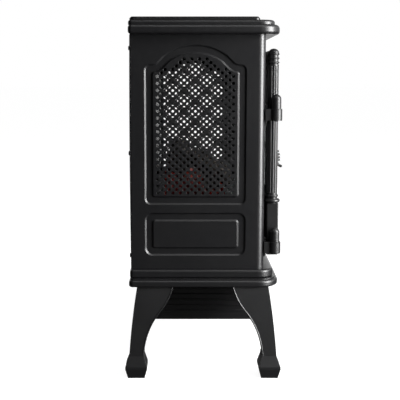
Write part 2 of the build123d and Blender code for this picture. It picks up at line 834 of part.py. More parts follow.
# ---------------------------------------------------------------- door
def column_solid(x):
    """Round fluted column on a square pedestal, with beads and a domed cap."""
    r = column_radius
    y = column_y
    shaft = rod_z(x, y, pedestal_top, shaft_top, r)
    cuts = []
    for i in range(flutes):
        angle = 2 * math.pi * (i + 0.5) / flutes
        flute_x = x + (r + flute_stand) * math.cos(angle)
        flute_y = y + (r + flute_stand) * math.sin(angle)
        cuts.append(rod_z(flute_x, flute_y, pedestal_top + flute_foot, shaft_top - flute_head, flute_radius))
    shaft = shaft - cuts
    pedestal = block(x - r, x + r, y - r - pedestal_proud, door_back, door_bottom, pedestal_top)
    pedestal = fillet(pedestal.edges().filter_by(Axis.Z), pedestal_corner)
    pedestal = fillet(pedestal.edges().group_by(Axis.Z)[0], 0.95 * pedestal_corner)
    dome_base = door_top - column_dome
    column = pedestal + shaft + rod_z(x, y, shaft_top, dome_base, r - cap_bead_inset)
    column = column + dome_z(x, y, dome_base, r, column_dome)
    for height, beyond, wire in base_beads:
        column = column + bead(x, y, pedestal_top + height, r + beyond, wire)
    for height in cap_bead_heights:
        column = column + bead(x, y, shaft_top + height, r - cap_bead_inset, cap_bead)
    return column


def window_face(grow=0.0):
    face = arch_face(window_half, window_bottom, window_shoulder, window_crown,
                     window_spring, window_hip, window_corner)
    return offset(face, grow) if grow else face


def make_door():
    low = door_bottom + rail_margin
    high = door_top - rail_margin
    cut = extrude(Plane.XZ.offset(-door_back + 1) * window_face(), panel_thickness + 2)
    rebate = extrude(Plane.XZ.offset(-door_back) * window_face(glass_overlap + glass_clearance),
                     glass_thickness + glass_clearance)
    seam = window_half + glass_overlap + seam_margin
    spindle_bore = rod_y(latch_x, door_face - 1, door_back + 1, latch_z, spindle_radius + run_gap)
    joint = window_shoulder - rail_joint_drop
    top = block(-seam, seam, door_face, door_back, joint, high) - cut - rebate
    bottom = block(-seam, seam, door_face, door_back, low, joint) - cut - rebate
    strip = block(-seam, -window_half + strip_overlap, door_face, door_back,
                  window_bottom + sill_joint_lift, joint)
    parts["door_top_rail"] = top
    parts["door_bottom_rail"] = bottom - strip - other_side(strip)
    stile = block(-column_x, -seam, door_face, door_back, low, high) + column_solid(-column_x) + strip
    stile = stile - rebate - cut
    parts["door_hinge_stile"] = stile
    parts["door_latch_stile"] = other_side(stile) - spindle_bore
    parts["door_glass"] = extrude(Plane.XZ.offset(-door_back) * window_face(glass_overlap), glass_thickness)
    clips = []
    edge = window_half + glass_overlap
    clip_back = door_back + clip_thickness
    hold = clip_length / 2 - clip_over          # clip's middle, outside the glass's edge
    for side in (-1, 1):
        x = side * (edge + hold)
        for z in (window_bottom + clip_margin, window_shoulder - clip_margin):
            clip = block(x - clip_length / 2, x + clip_length / 2, door_back, clip_back,
                         z - clip_width / 2, z + clip_width / 2)
            clips.append(clip + rivet(x + side * hold, clip_back, z))
        x = side * clip_spread
        z = window_bottom - glass_overlap - hold
        clip = block(x - clip_width / 2, x + clip_width / 2, door_back, clip_back,
                     z - clip_length / 2, z + clip_length / 2)
        clips.append(clip + rivet(x, clip_back, z - hold))
    parts["glass_clips"] = clips


def rivet(x, y, z):
    return rod_y(x, y, y + rivet_height, z, rivet_radius)


def make_hinges():
    """Lift-off hinges: bracket and pin on the cabinet, domed knuckle on the door."""
    pins = []
    screws = []
    plate_x0 = -half_width + corner_radius
    plate_x1 = -return_edge - touch_gap
    for name, z in hinge_heights.items():
        low = z - bracket_height
        bracket = rod_z(hinge_x, hinge_y, low, z, bracket_radius)
        bracket = bracket + block(hinge_x - web_width / 2, hinge_x + web_width / 2, hinge_y, 0, low, z)
        plate = block(plate_x0 - 1, plate_x1, -hinge_plate_thickness, 0,
                      low - hinge_plate_over, z + hinge_plate_over)
        bracket = bracket + plate
        bracket = bracket - rod_z(hinge_x, hinge_y, low - 1, z + 1, pin_radius + press_gap)
        for screw_z in (low - hinge_plate_over / 2, z + hinge_plate_over / 2):
            screws.append(rod_y((plate_x0 + plate_x1) / 2, -hinge_plate_thickness - hinge_screw_height,
                                -hinge_plate_thickness, screw_z, hinge_screw_radius))
        parts[f"{name}_hinge_bracket"] = bracket
        pins.append(rod_z(hinge_x, hinge_y, low - pin_below, z + pin_above, pin_radius))
        base = z + touch_gap
        straight = z + knuckle_height - knuckle_dome
        knuckle = rod_z(hinge_x, hinge_y, base, straight, knuckle_radius)
        knuckle = knuckle + dome_z(hinge_x, hinge_y, straight, knuckle_radius, knuckle_dome)
        arm = block(hinge_x, -door_half_width + arm_saddle, hinge_y - arm_thickness / 2,
                    hinge_y + arm_thickness / 2, base + arm_lift, base + arm_lift + arm_height)
        arm = arm - rod_z(-column_x, column_y, base, base + knuckle_height, column_radius + run_gap)
        arm = arm - block(-door_half_width - run_gap, 0, hinge_y - arm_thickness, hinge_y + arm_thickness,
                          door_bottom, pedestal_top + run_gap)
        bore = rod_z(hinge_x, hinge_y, base - 1, z + pin_above + pin_end_gap, pin_radius + run_gap)
        parts[f"{name}_hinge_knuckle"] = knuckle + arm - bore
    parts["hinge_pins"] = pins
    parts["hinge_screws"] = screws


# ---------------------------------------------------------------- latch
def make_latch():
    """Turning handle: a rod bent down in front of the door, in a coil, and a tongue behind it."""
    y0 = spindle_front
    y1 = y0 - hub_length - grip_straight
    y2 = y1 - grip_bend
    z1 = latch_z - grip_bend
    z2 = z1 - grip_drop
    path = Line((y0 - hub_length, latch_z), (y1, latch_z))
    path += CenterArc((y1, z1), grip_bend, 90, 90)
    path += Line((y2, z1), (y2, z2))
    tip_radius = (tip_flare ** 2 + tip_drop ** 2) / (2 * tip_flare)
    tip_angle = math.degrees(math.asin(tip_drop / tip_radius))
    path += CenterArc((y2 - tip_radius, z2), tip_radius, 0, -tip_angle)
    start = Plane(origin=(latch_x, y0 - hub_length, latch_z), x_dir=(1, 0, 0), z_dir=(0, -1, 0))
    grip = sweep(start * Circle(grip_radius), path=Plane.YZ.offset(latch_x) * path)
    tip = Pos(latch_x, y2 - tip_flare, z2 - tip_drop) * Sphere(grip_radius)
    hub = rod_y(latch_x, y0 - hub_length, y0, latch_z, hub_radius)
    hub = chamfer(hub.edges().group_by(Axis.Y)[0], hub_chamfer)
    spindle = rod_y(latch_x, y0, tongue_back, latch_z, spindle_radius)
    parts["latch_handle"] = grip + tip + hub + spindle
    rings = []
    ring_radius = grip_radius + coil_wire + coil_gap
    arc_length = math.pi / 2 * grip_bend
    for i in range(coil_turns):
        along = (i + coil_start) * coil_pitch
        angle = min(along, arc_length) / grip_bend
        y = y1 - grip_bend * math.sin(angle)
        z = z1 + grip_bend * math.cos(angle) - max(0, along - arc_length)
        turn = Rot(90 + math.degrees(angle), 0, 0)
        rings.append(Pos(latch_x, y, z) * turn * Torus(ring_radius, coil_wire))
    parts["handle_coil"] = rings
    tongue = rod_y(latch_x, tongue_front, tongue_back, latch_z, tongue_width / 2 + tongue_eye)
    tongue = tongue + block(latch_x - tongue_width / 2, latch_x + tongue_width / 2, tongue_front, tongue_back,
                            latch_z - tongue_length, latch_z)
    bore = rod_y(latch_x, tongue_front - 1, tongue_back + 1, latch_z, spindle_radius + press_gap)
    parts["latch_tongue"] = tongue - bore


# ---------------------------------------------------------------- controls
def make_controls():
    edge = return_edge - touch_gap
    face = tray_face
    z = tray_middle
    panel = block(-edge, edge, 0, fascia, body_bottom + touch_gap, control_top)
    shell = block(-tray_half, tray_half, 0, tray_depth, tray_bottom, tray_top)
    room = block(-tray_half + tray_wall, tray_half - tray_wall, -1, face,
                 tray_bottom + tray_wall, tray_top - tray_wall)
    panel = panel + shell - room
    panel = panel - rod_y(knob_x, face - 1, tray_depth + 1, z, knob_spindle + stem_clearance)
    half_w = rocker_width / 2
    half_l = rocker_length / 2
    bodies = []
    for name, x in switch_xs.items():
        rim_w = half_w + switch_rim
        rim_l = half_l + switch_rim
        panel = panel - block(x - rim_w, x + rim_w, face - 1, tray_depth + 1, z - rim_l, z + rim_l)
        rim_w -= switch_gap
        rim_l -= switch_gap
        body = block(x - rim_w, x + rim_w, face - switch_proud, face + switch_depth, z - rim_l, z + rim_l)
        well = block(x - half_w, x + half_w, face - switch_proud - 1, face + switch_well,
                     z - half_l, z + half_l)
        bodies.append(body - well)
        parts[f"{name}_rocker"] = rocker(x, face, z)
    parts["control_panel"] = panel
    parts["switch_bodies"] = bodies
    knob_back = face - touch_gap
    knob_front = knob_back - knob_depth
    knob = rod_y(knob_x, knob_front, knob_back, z, knob_radius)
    knob = chamfer(knob.edges().group_by(Axis.Y)[0], knob_chamfer)
    ribs = []
    for i in range(knob_ribs):
        angle = 2 * math.pi * i / knob_ribs
        rib_x = knob_x + (knob_radius + knob_rib_stand) * math.cos(angle)
        rib_z = z + (knob_radius + knob_rib_stand) * math.sin(angle)
        ribs.append(rod_y(rib_x, knob_front - 1, knob_back - knob_skirt, rib_z, knob_rib_radius))
    mark = block(knob_x - knob_mark / 2, knob_x + knob_mark / 2, knob_front - 1, knob_front + knob_mark / 2,
                 z + 0.4 * knob_radius, z + 0.85 * knob_radius)
    stem = rod_y(knob_x, face - 0.7 * knob_depth, tray_depth + stem_reach, z, knob_spindle)
    parts["thermostat_knob"] = knob - ribs - mark + stem
    case = block(knob_x - thermostat_half, knob_x + thermostat_half, tray_depth + touch_gap,
                 tray_depth + thermostat_depth, z - thermostat_half, z + thermostat_half)
    bore = rod_y(knob_x, tray_depth - 1, tray_depth + stem_reach + touch_gap, z, knob_spindle + run_gap)
    parts["thermostat"] = case - bore


def rocker(x, face, z):
    """Two-sided rocker, tilted about its pivot to its off position."""
    half_l = rocker_length / 2 - rocker_end_gap
    front = -rocker_reach + rocker_dish
    profile = Polyline((front, -half_l), (-rocker_reach - rocker_dish / 3, 0), (front, half_l),
                       (rocker_foot, half_l), (2 * rocker_pivot, 0), (rocker_foot, -half_l), (front, -half_l))
    body = extrude(Plane.YZ * make_face(profile), rocker_width / 2 - rocker_gap, both=True)
    swung = Pos(0, rocker_pivot, 0) * Rot(rocker_tilt, 0, 0) * Pos(0, -rocker_pivot, 0) * body
    return Pos(x, face, z) * swung


# ---------------------------------------------------------------- ember bed and logs
def bed_height(y):
    return bed_top + bed_low + (y - bed_slope_front) * bed_slope


def bed_profile(wall=0.0):
    front = bed_front + wall
    back = bed_back - wall
    drop = wall * bed_lift
    brow = bed_top + bed_low - bed_lip - wall
    knuckle = bed_height(bed_slope_front) - drop
    return make_face(Polyline((front, bed_top), (front, brow), (bed_slope_front, knuckle),
                              (back, bed_height(back) - drop), (back, bed_top), (front, bed_top)))


def log(name, start, end, radius):
    direction = Vector(*end) - Vector(*start)
    place = Plane(origin=start, z_dir=direction)
    piece = place * Cylinder(radius, direction.length, align=(Align.CENTER, Align.CENTER, Align.MIN))
    under = block(-bed_half, bed_half, bed_front, bed_back, bed_top - 2 * radius, bed_top)
    parts[name] = piece - extrude(Plane.YZ * bed_profile(), bed_half, both=True) - under


def make_logs():
    shell = extrude(Plane.YZ * bed_profile(), bed_half, both=True)
    room = extrude(Plane.YZ * bed_profile(bed_wall), bed_half - bed_wall, both=True)
    parts["ember_bed"] = shell - room
    back_z = bed_height(log_back_y) + log_back_radius * bed_lift - log_seat
    back_half = bed_half - log_back_margin
    log("log_back", (-back_half, log_back_y, back_z), (back_half, log_back_y, back_z), log_back_radius)
    front_z = bed_height(log_front_y) + log_front_rise - log_front_radius
    front_half = bed_half - log_front_margin
    log("log_front", (-front_half, log_front_y, front_z), (front_half, log_front_y, front_z),
        log_front_radius)
    lean = math.radians(log_cross_lean)
    over = log_front_radius + log_cross_radius + touch_gap
    rest_y = log_front_y - over * math.sin(lean)
    rest_z = front_z + over * math.cos(lean)
    to_back = (log_back_y - rest_y) * math.cos(lean) + (back_z - rest_z) * math.sin(lean)
    start_y = log_front_y - log_cross_overhang
    start_z = rest_z - (rest_y - start_y) * math.tan(lean)
    for name, (x, slant) in log_cross_places.items():
        swing = math.atan(slant / (to_back + (rest_y - start_y) / math.cos(lean)))
        reach = to_back - log_back_radius - touch_gap - log_cross_radius * math.sin(abs(swing))
        start = (x - slant / 2, start_y, start_z)
        end = (x + slant / 2, rest_y + reach * math.cos(lean), rest_z + reach * math.sin(lean))
        log(f"log_cross_{name}", start, end, log_cross_radius)


# ---------------------------------------------------------------- flame effect
def make_flame():
    inside = half_width - sheet - channel_depth - touch_gap
    parts["flame_screen"] = block(-inside, inside, screen_y, screen_y + screen_thickness,
                                  firebox_floor_z, body_top - screen_head_gap)
    side_x = inside - reflector_side_gap
    skin = reflector_thickness
    reflector = block(-side_x, side_x, reflector_y, reflector_y + skin, firebox_floor_z, reflector_top)
    licks = []
    reach = int(window_half / lick_pitch)
    low = firebox_floor_z + lick_lift
    for i in range(-reach, reach + 1):
        x = i * lick_pitch
        high = reflector_top - lick_head_gap - lick_step * abs(i)
        lick = make_face(Polyline((x - lick_width / 2, low), (x + lick_width / 2, low), (x + lick_lean, high),
                                  (x - lick_width / 2, low)))
        licks.append(extrude(Plane.XZ.offset(-reflector_y - 2 * skin) * lick, 4 * skin))
    foot = block(-side_x, side_x, reflector_y, body_depth - sheet - touch_gap,
                 firebox_floor_z, firebox_floor_z + skin)
    wall = block(side_x - skin, side_x, screen_y + screen_thickness + touch_gap, reflector_y,
                 firebox_floor_z, reflector_top)
    parts["flame_reflector"] = reflector + foot + wall + other_side(wall) - licks
    make_flicker()


def make_flicker():
    """Turning rod with bright flags, its brackets and motor, and the board of lamps under it."""
    shaft = rod_x(-rod_half, rod_half, flicker_y, flicker_z, rod_radius)
    count = int(2 * (rod_half - flag_end_margin) / flag_pitch)
    for i in range(count):
        x = (i - (count - 1) / 2) * flag_pitch
        flag = Box(flag_length, 2 * flag_reach, flag_thickness)
        shaft = shaft + Pos(x, flicker_y, flicker_z) * Rot(flag_turn * i, 0, 0) * flag
    parts["flicker_rod"] = shaft
    board_front = flicker_y - board_depth / 2
    board_back = flicker_y + board_depth / 2
    post_front = board_front + bracket_edge
    post_back = board_back - bracket_edge
    post_x = rod_half - bracket_inset
    motor_x = post_x + bracket_sheet
    bracket = block(post_x, motor_x, post_front, post_back, body_bottom, flicker_z + bracket_head)
    bracket = bracket + block(post_x, post_x + bracket_foot, post_front, post_back, body_bottom,
                              body_bottom + bracket_sheet)
    bracket = bracket - rod_x(post_x - 1, motor_x + 1, flicker_y, flicker_z, rod_radius + run_gap)
    parts["flicker_brackets"] = [bracket, other_side(bracket)]
    motor = rod_x(motor_x, motor_x + flicker_motor_length, flicker_y, flicker_z, flicker_motor_radius)
    motor = motor - rod_x(motor_x - 1, rod_half + rod_end_gap, flicker_y, flicker_z, rod_radius + run_gap)
    parts["flicker_motor"] = motor
    board = block(-board_half, board_half, board_front, board_back, board_z, board_z + board_thickness)
    for x in (-board_half + board_post_inset, board_half - board_post_inset):
        for y in (board_front + board_post_inset, board_back - board_post_inset):
            board = board + rod_z(x, y, body_bottom, board_z, board_post_radius)
    parts["led_board"] = board
    lamps = []
    low = board_z + board_thickness
    ball_z = low + lamp_height - lamp_radius
    lamp_pitch = 2 * (board_half - lamp_end_margin) / (lamp_count - 1)
    for i in range(lamp_count):
        x = (i - (lamp_count - 1) / 2) * lamp_pitch
        y = flicker_y + lamp_rows[i % 2]
        lamps.append(rod_z(x, y, low, ball_z, lamp_radius) + Pos(x, y, ball_z) * Sphere(lamp_radius))
    parts["led_lamps"] = lamps


# ---------------------------------------------------------------- heater
def make_heater():
    s = heater_sheet
    outer = block(-heater_half, heater_half, heater_front, heater_back, heater_bottom, leg_height)
    rib_x = heater_half - rib_sink
    for row in range(rib_rows):
        z = heater_bottom + rib_lift + row * rib_pitch
        for x in (-rib_x, rib_x):
            outer = outer + rod_y(x, heater_front + rib_margin, heater_back - rib_margin, z, rib_radius)
    room = block(-heater_half + s, heater_half - s, heater_front + s, heater_back - s,
                 heater_bottom + s, leg_height + s)
    outlet = block(-outlet_half, outlet_half, heater_front - s, heater_front + 2 * s,
                   outlet_bottom, outlet_top)
    slots = []
    across = louvre_length + louvre_gap
    first = -heater_half + louvre_margin + louvre_length / 2
    count = int((gland_x - gland_flange_radius - first + louvre_length / 2) / across)
    for row in range(louvre_rows):
        z = heater_bottom + louvre_lift + row * louvre_pitch
        for i in range(count):
            slots.append(Pos(first + i * across, heater_back, z) * Box(louvre_length, 5 * s, louvre_height))
    gland_hole = rod_y(gland_x, heater_back - 2 * s, heater_back + s, gland_z, gland_radius + run_gap)
    parts["heater_housing"] = outer - room - outlet - slots - gland_hole
    make_grille()
    make_blower()
    make_element()
    make_gland()


def make_grille():
    front = heater_front - grille_depth
    grille = block(-outlet_half - grille_rim, outlet_half + grille_rim, front, heater_front,
                   outlet_bottom - grille_rim, outlet_top + grille_rim)
    grille = grille - block(-outlet_half, outlet_half, front - 1, heater_front + 1, outlet_bottom, outlet_top)
    pitch = (outlet_top - outlet_bottom) / (grille_bars + 1)
    for i in range(grille_bars):
        z = outlet_bottom + (i + 1) * pitch
        grille = grille + block(-outlet_half, outlet_half, front, heater_front, z - grille_bar / 2,
                                z + grille_bar / 2)
    for x in (-outlet_half / 3, outlet_half / 3):
        grille = grille + block(x - grille_upright / 2, x + grille_upright / 2, front, heater_front,
                                outlet_bottom, outlet_top)
    parts["heater_grille"] = grille


def make_blower():
    """Cross-flow wheel on one shaft, in a frame with a curved back, and its motor."""
    end_x = wheel_half + wheel_end_gap
    shaft_end = end_x + frame_plate + shaft_stub
    wheel = rod_x(-end_x - frame_plate, shaft_end, wheel_y, wheel_z, shaft_radius)
    for x in (-wheel_half, -wheel_disc / 2, wheel_half - wheel_disc):
        wheel = wheel + rod_x(x, x + wheel_disc, wheel_y, wheel_z, wheel_radius)
    blades = []
    for i in range(wheel_blades):
        blade = Pos(0, wheel_radius - blade_width / 2, 0) * Box(2 * wheel_half, blade_width, blade_thickness)
        blades.append(Pos(0, wheel_y, wheel_z) * Rot(360 * i / wheel_blades, 0, 0) * blade)
    parts["blower_wheel"] = wheel + blades
    outside = scroll_radius + frame_plate
    tube = rod_x(-end_x, end_x, wheel_y, wheel_z, outside)
    tube = tube - rod_x(-end_x - 1, end_x + 1, wheel_y, wheel_z, scroll_radius)
    frame = tube & block(-end_x, end_x, wheel_y + scroll_start, wheel_y + 2 * outside,
                         wheel_z - 2 * outside, wheel_z + 2 * outside)
    for x in (-end_x - frame_plate, end_x):
        frame = frame + block(x, x + frame_plate, wheel_y - wheel_radius - frame_front,
                              wheel_y + wheel_radius + frame_back, heater_bottom + heater_sheet, leg_height)
    bore = rod_x(-2 * end_x, 2 * end_x, wheel_y, wheel_z, shaft_radius + run_gap)
    parts["blower_frame"] = frame - bore
    motor_x = end_x + frame_plate
    half = blower_motor_size / 2
    motor = block(motor_x, motor_x + blower_motor_length, wheel_y - half, wheel_y + half,
                  wheel_z - half, wheel_z + half)
    motor = fillet(motor.edges().filter_by(Axis.X), blower_motor_corner)
    motor = motor - rod_x(motor_x - 1, shaft_end + touch_gap, wheel_y, wheel_z, shaft_radius + run_gap)
    parts["blower_motor"] = motor


def make_element():
    """Ceramic end blocks with heating wire coils strung between them, and a cutout on top."""
    z0 = outlet_bottom + element_margin
    z1 = outlet_top - element_margin
    front = element_y - element_rail / 2
    back = element_y + element_rail / 2
    ends = block(-element_half, element_half, front, back, z1 - element_rail_height, z1)
    ends = ends + block(-element_half, element_half, front, back, z0, z0 + element_rail_height)
    plates = (-element_half, -element_plate / 2, element_half - element_plate)
    for x in plates:
        ends = ends + block(x, x + element_plate, element_y - element_depth / 2,
                            element_y + element_depth / 2, z0, z1)
    lug_x = element_half - element_lug_inset - element_lug
    for x in (-lug_x - element_lug, lug_x):
        ends = ends + block(x, x + element_lug, front, back, z1, leg_height)
    wires = []
    pitch = (z1 - z0 - 2 * element_coil_margin) / (element_coils - 1)
    for i in range(element_coils):
        z = z0 + element_coil_margin + i * pitch
        for left, right in zip(plates, plates[1:]):
            wires.append(rod_x(left + element_plate, right, element_y, z, element_coil_radius))
    parts["heating_element_frame"] = ends
    parts["heating_coils"] = wires
    parts["thermal_cutout"] = rod_y(cutout_x, back, back + cutout_depth, z1 + cutout_lift, cutout_radius)


def make_gland():
    flange = rod_y(gland_x, heater_back, heater_back + gland_flange, gland_z, gland_flange_radius)
    neck = rod_y(gland_x, heater_back - gland_inside, heater_back + gland_reach, gland_z, gland_radius)
    hexagon = Pos(gland_x, gland_z) * RegularPolygon(gland_flange_radius, 6)
    nut = extrude(Plane.XZ.offset(-heater_back + heater_sheet) * hexagon, gland_nut)
    bore = rod_y(gland_x, heater_back - gland_inside - 1, heater_back + gland_reach + 1, gland_z, gland_bore)
    parts["cable_gland"] = flange + neck + nut - bore
    terminal = block(gland_x, gland_x + terminal_length, terminal_y, terminal_y + terminal_depth,
                     body_bottom, body_bottom + terminal_height)
    for i in range(terminal_ways):
        x = gland_x + terminal_length / 2 + (i - (terminal_ways - 1) / 2) * terminal_pitch
        terminal = terminal - rod_z(x, terminal_y + terminal_depth / 2, body_bottom + terminal_height / 2,
                                    body_bottom + terminal_height + 1, terminal_bore)
    parts["terminal_block"] = terminal


# ---------------------------------------------------------------- build and write
make_base()
make_top()
make_legs()
make_sides()
make_back()
make_front()
make_door()
make_hinges()
make_latch()
make_controls()
make_logs()
make_flame()
make_heater()


def solids_of(shape):
    """A node's solids, whether it was kept as one shape or as a list of them."""
    pieces = shape if isinstance(shape, list) else [shape]
    return [solid for piece in pieces for solid in piece.solids()]


everything = Compound([solid for shape in parts.values() for solid in solids_of(shape)])
box = everything.bounding_box()
shift_y = -(box.min.Y + box.max.Y) / 2

os.makedirs("parts", exist_ok=True)
for node, shape in parts.items():
    placed = Compound([Pos(0, shift_y, 0) * solid for solid in solids_of(shape)])
    export_step(placed, f"parts/{node}.step")
print("shift_y", round(shift_y, 3), "size", box.size)
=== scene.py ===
"""A free-standing electric stove: finishes, fine pieces, lights and camera around its frame."""
import bmesh
import bpy
import json
import math
from mathutils import Matrix, Vector, noise


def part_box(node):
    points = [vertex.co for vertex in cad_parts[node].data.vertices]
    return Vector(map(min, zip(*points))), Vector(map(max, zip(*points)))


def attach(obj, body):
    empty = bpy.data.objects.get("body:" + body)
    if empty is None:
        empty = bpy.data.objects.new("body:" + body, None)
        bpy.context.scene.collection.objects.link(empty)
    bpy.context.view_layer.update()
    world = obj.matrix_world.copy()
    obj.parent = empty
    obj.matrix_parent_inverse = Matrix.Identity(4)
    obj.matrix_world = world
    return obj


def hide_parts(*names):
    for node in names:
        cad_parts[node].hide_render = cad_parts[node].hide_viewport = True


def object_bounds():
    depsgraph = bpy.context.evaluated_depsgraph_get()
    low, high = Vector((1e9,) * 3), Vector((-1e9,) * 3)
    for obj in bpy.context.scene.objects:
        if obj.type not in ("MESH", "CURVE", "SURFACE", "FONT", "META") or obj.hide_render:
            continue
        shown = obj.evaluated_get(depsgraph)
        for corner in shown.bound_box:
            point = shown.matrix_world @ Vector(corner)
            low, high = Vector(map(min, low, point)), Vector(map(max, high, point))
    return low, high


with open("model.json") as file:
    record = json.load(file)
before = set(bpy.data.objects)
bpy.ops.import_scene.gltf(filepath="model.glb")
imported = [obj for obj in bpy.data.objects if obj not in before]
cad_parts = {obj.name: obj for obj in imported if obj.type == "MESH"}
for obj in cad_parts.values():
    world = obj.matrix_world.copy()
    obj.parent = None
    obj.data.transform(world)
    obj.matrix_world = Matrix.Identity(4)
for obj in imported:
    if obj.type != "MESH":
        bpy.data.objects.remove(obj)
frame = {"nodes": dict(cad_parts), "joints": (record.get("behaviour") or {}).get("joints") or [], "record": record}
cad_low, cad_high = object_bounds()
MM = 0.001


# ---------------------------------------------------------------- small helpers
def linear(hex_code, alpha=1.0):
    """sRGB hex to the linear colour that shaders take."""
    values = [int(hex_code[i:i + 2], 16) / 255 for i in (1, 3, 5)]
    values = [v / 12.92 if v <= 0.04045 else ((v + 0.055) / 1.055) ** 2.4 for v in values]
    return (*values, alpha)


def per(size_mm):
    """Texture scale whose features are about this many millimetres across."""
    return 1.0 / (size_mm * MM)


def add(tree, kind, inputs=None, **settings):
    """Adds one node; each input is a value or the socket that feeds it."""
    made = tree.nodes.new(kind)
    for name, value in settings.items():
        setattr(made, name, value)
    for name, value in (inputs or {}).items():
        socket = made.inputs[name]
        if isinstance(value, bpy.types.NodeSocket):
            tree.links.new(value, socket)
        else:
            socket.default_value = value
    return made


def blank(name):
    """A material with only its output; returns it with its node tree."""
    material = bpy.data.materials.new(name)
    material.use_nodes = True
    tree = material.node_tree
    tree.nodes.clear()
    return material, tree


def close_with(tree, shader):
    """Feeds the finished shader to the material's output."""
    add(tree, "ShaderNodeOutputMaterial", {"Surface": shader})


def place(tree):
    """Object coordinates: a CAD node and a finished piece both sit at the origin."""
    return add(tree, "ShaderNodeTexCoord").outputs["Object"]


def speckle(tree, where, size_mm, detail=3.0, rough=0.55):
    """Cloudy noise with spots of about the given size."""
    return add(tree, "ShaderNodeTexNoise", {"Vector": where, "Scale": per(size_mm), "Detail": detail,
                                            "Roughness": rough}).outputs["Fac"]


def ramp(tree, value, stops):
    """Colour ramp with (position, linear colour) stops."""
    made = add(tree, "ShaderNodeValToRGB", {"Fac": value})
    bands = made.color_ramp.elements
    while len(bands) < len(stops):
        bands.new(0.5)
    for band, (position, shade) in zip(bands, stops):
        band.position = position
        band.color = shade
    return made.outputs["Color"]


def spread(tree, value, low, high):
    """Stretches noise, which lies mostly between 0.3 and 0.7, from low to high."""
    return add(tree, "ShaderNodeMapRange", {"Value": value, "From Min": 0.3, "From Max": 0.7,
                                            "To Min": low, "To Max": high}).outputs["Result"]


def relief(tree, height, depth_mm, strength=1.0, under=None):
    """Bump of a real depth, on top of another normal if one is given."""
    inputs = {"Height": height, "Distance": depth_mm * MM, "Strength": strength}
    if under is not None:
        inputs["Normal"] = under
    return add(tree, "ShaderNodeBump", inputs).outputs["Normal"]


def eased(tree, radius_mm):
    """The small radius that paint or a press tool leaves on every edge."""
    return add(tree, "ShaderNodeBevel", {"Radius": radius_mm * MM}, samples=4).outputs["Normal"]


# ---------------------------------------------------------------- finishes
def painted(name, base, light, grain_mm, grain_depth, rough, patch_mm=70.0):
    """Sprayed or powder-coated black: a fine orange peel, and patches a little glossier than others.
    The peel is drawn a few times coarser than the real one so that it still shows."""
    material, tree = blank(name)
    where = place(tree)
    patches = speckle(tree, where, patch_mm, 4.0)
    tone = ramp(tree, patches, [(0.3, linear(base)), (0.75, linear(light))])
    peel = speckle(tree, where, grain_mm, 2.0, 0.5)
    dust = speckle(tree, where, 9.0, 6.0, 0.7)
    gloss = spread(tree, dust, rough - 0.02, rough + 0.04)
    shader = add(tree, "ShaderNodeBsdfPrincipled", {
        "Base Color": tone, "Roughness": gloss, "IOR": 1.5,
        "Normal": relief(tree, peel, grain_depth, 1.0, eased(tree, 0.7))})
    close_with(tree, shader.outputs["BSDF"])
    return material


def cast(name, base, light):
    """Painted iron casting: sand texture under the paint, with soft pits."""
    material, tree = blank(name)
    where = place(tree)
    tone = ramp(tree, speckle(tree, where, 40.0, 5.0), [(0.3, linear(base)), (0.8, linear(light))])
    sand = speckle(tree, where, 1.6, 3.0, 0.6)
    pits = add(tree, "ShaderNodeTexVoronoi", {"Vector": where, "Scale": per(3.4)}).outputs["Distance"]
    coarse = relief(tree, pits, 0.05, 0.35, eased(tree, 0.9))
    shader = add(tree, "ShaderNodeBsdfPrincipled", {
        "Base Color": tone, "Roughness": spread(tree, sand, 0.36, 0.46), "IOR": 1.5,
        "Normal": relief(tree, sand, 0.06, 0.8, coarse)})
    close_with(tree, shader.outputs["BSDF"])
    return material


def bare_metal(name, base, light, rough, grain_mm):
    """Metal with its own colour: a faint rolling grain along X, and dull spots."""
    material, tree = blank(name)
    where = place(tree)
    rolled = add(tree, "ShaderNodeMapping", {"Vector": where, "Scale": (0.06, 1.0, 1.0)}).outputs["Vector"]
    grain = speckle(tree, rolled, grain_mm, 3.0, 0.6)
    spots = speckle(tree, where, 7.0, 5.0, 0.65)
    tone = ramp(tree, spots, [(0.3, linear(base)), (0.7, linear(light))])
    shader = add(tree, "ShaderNodeBsdfPrincipled", {
        "Base Color": tone, "Metallic": 1.0, "Roughness": spread(tree, grain, rough - 0.06, rough + 0.08),
        "Normal": relief(tree, grain, 0.01, 0.6)})
    close_with(tree, shader.outputs["BSDF"])
    return material


def moulded(name, base, light, rough, grain_mm=1.2, grain_depth=0.03):
    """Moulded plastic with the spark-eroded texture of its tool."""
    material, tree = blank(name)
    where = place(tree)
    tone = ramp(tree, speckle(tree, where, 25.0, 3.0), [(0.3, linear(base)), (0.7, linear(light))])
    grain = speckle(tree, where, grain_mm, 2.0, 0.5)
    shader = add(tree, "ShaderNodeBsdfPrincipled", {
        "Base Color": tone, "Roughness": spread(tree, grain, rough - 0.04, rough + 0.06), "IOR": 1.49,
        "Normal": relief(tree, grain, grain_depth, 0.6)})
    close_with(tree, shader.outputs["BSDF"])
    return material


def galvanised_sheet():
    """Hot-dip zinc: crystal spangles, each with its own grey and gloss."""
    material, tree = blank("galvanised_steel")
    where = place(tree)
    cells = add(tree, "ShaderNodeTexVoronoi", {"Vector": where, "Scale": per(9.0)})
    shade = add(tree, "ShaderNodeRGBToBW", {"Color": cells.outputs["Color"]}).outputs["Val"]
    # These greys are darker than new zinc. The spangles are real; the darkening is painted shade, so that the
    # firebox floor stays dark through the side holes.
    tone = ramp(tree, shade, [(0.2, linear("#5d6162")), (0.8, linear("#7c8082"))])
    shader = add(tree, "ShaderNodeBsdfPrincipled", {
        "Base Color": tone, "Metallic": 1.0, "Roughness": spread(tree, shade, 0.42, 0.6)})
    close_with(tree, shader.outputs["BSDF"])
    return material


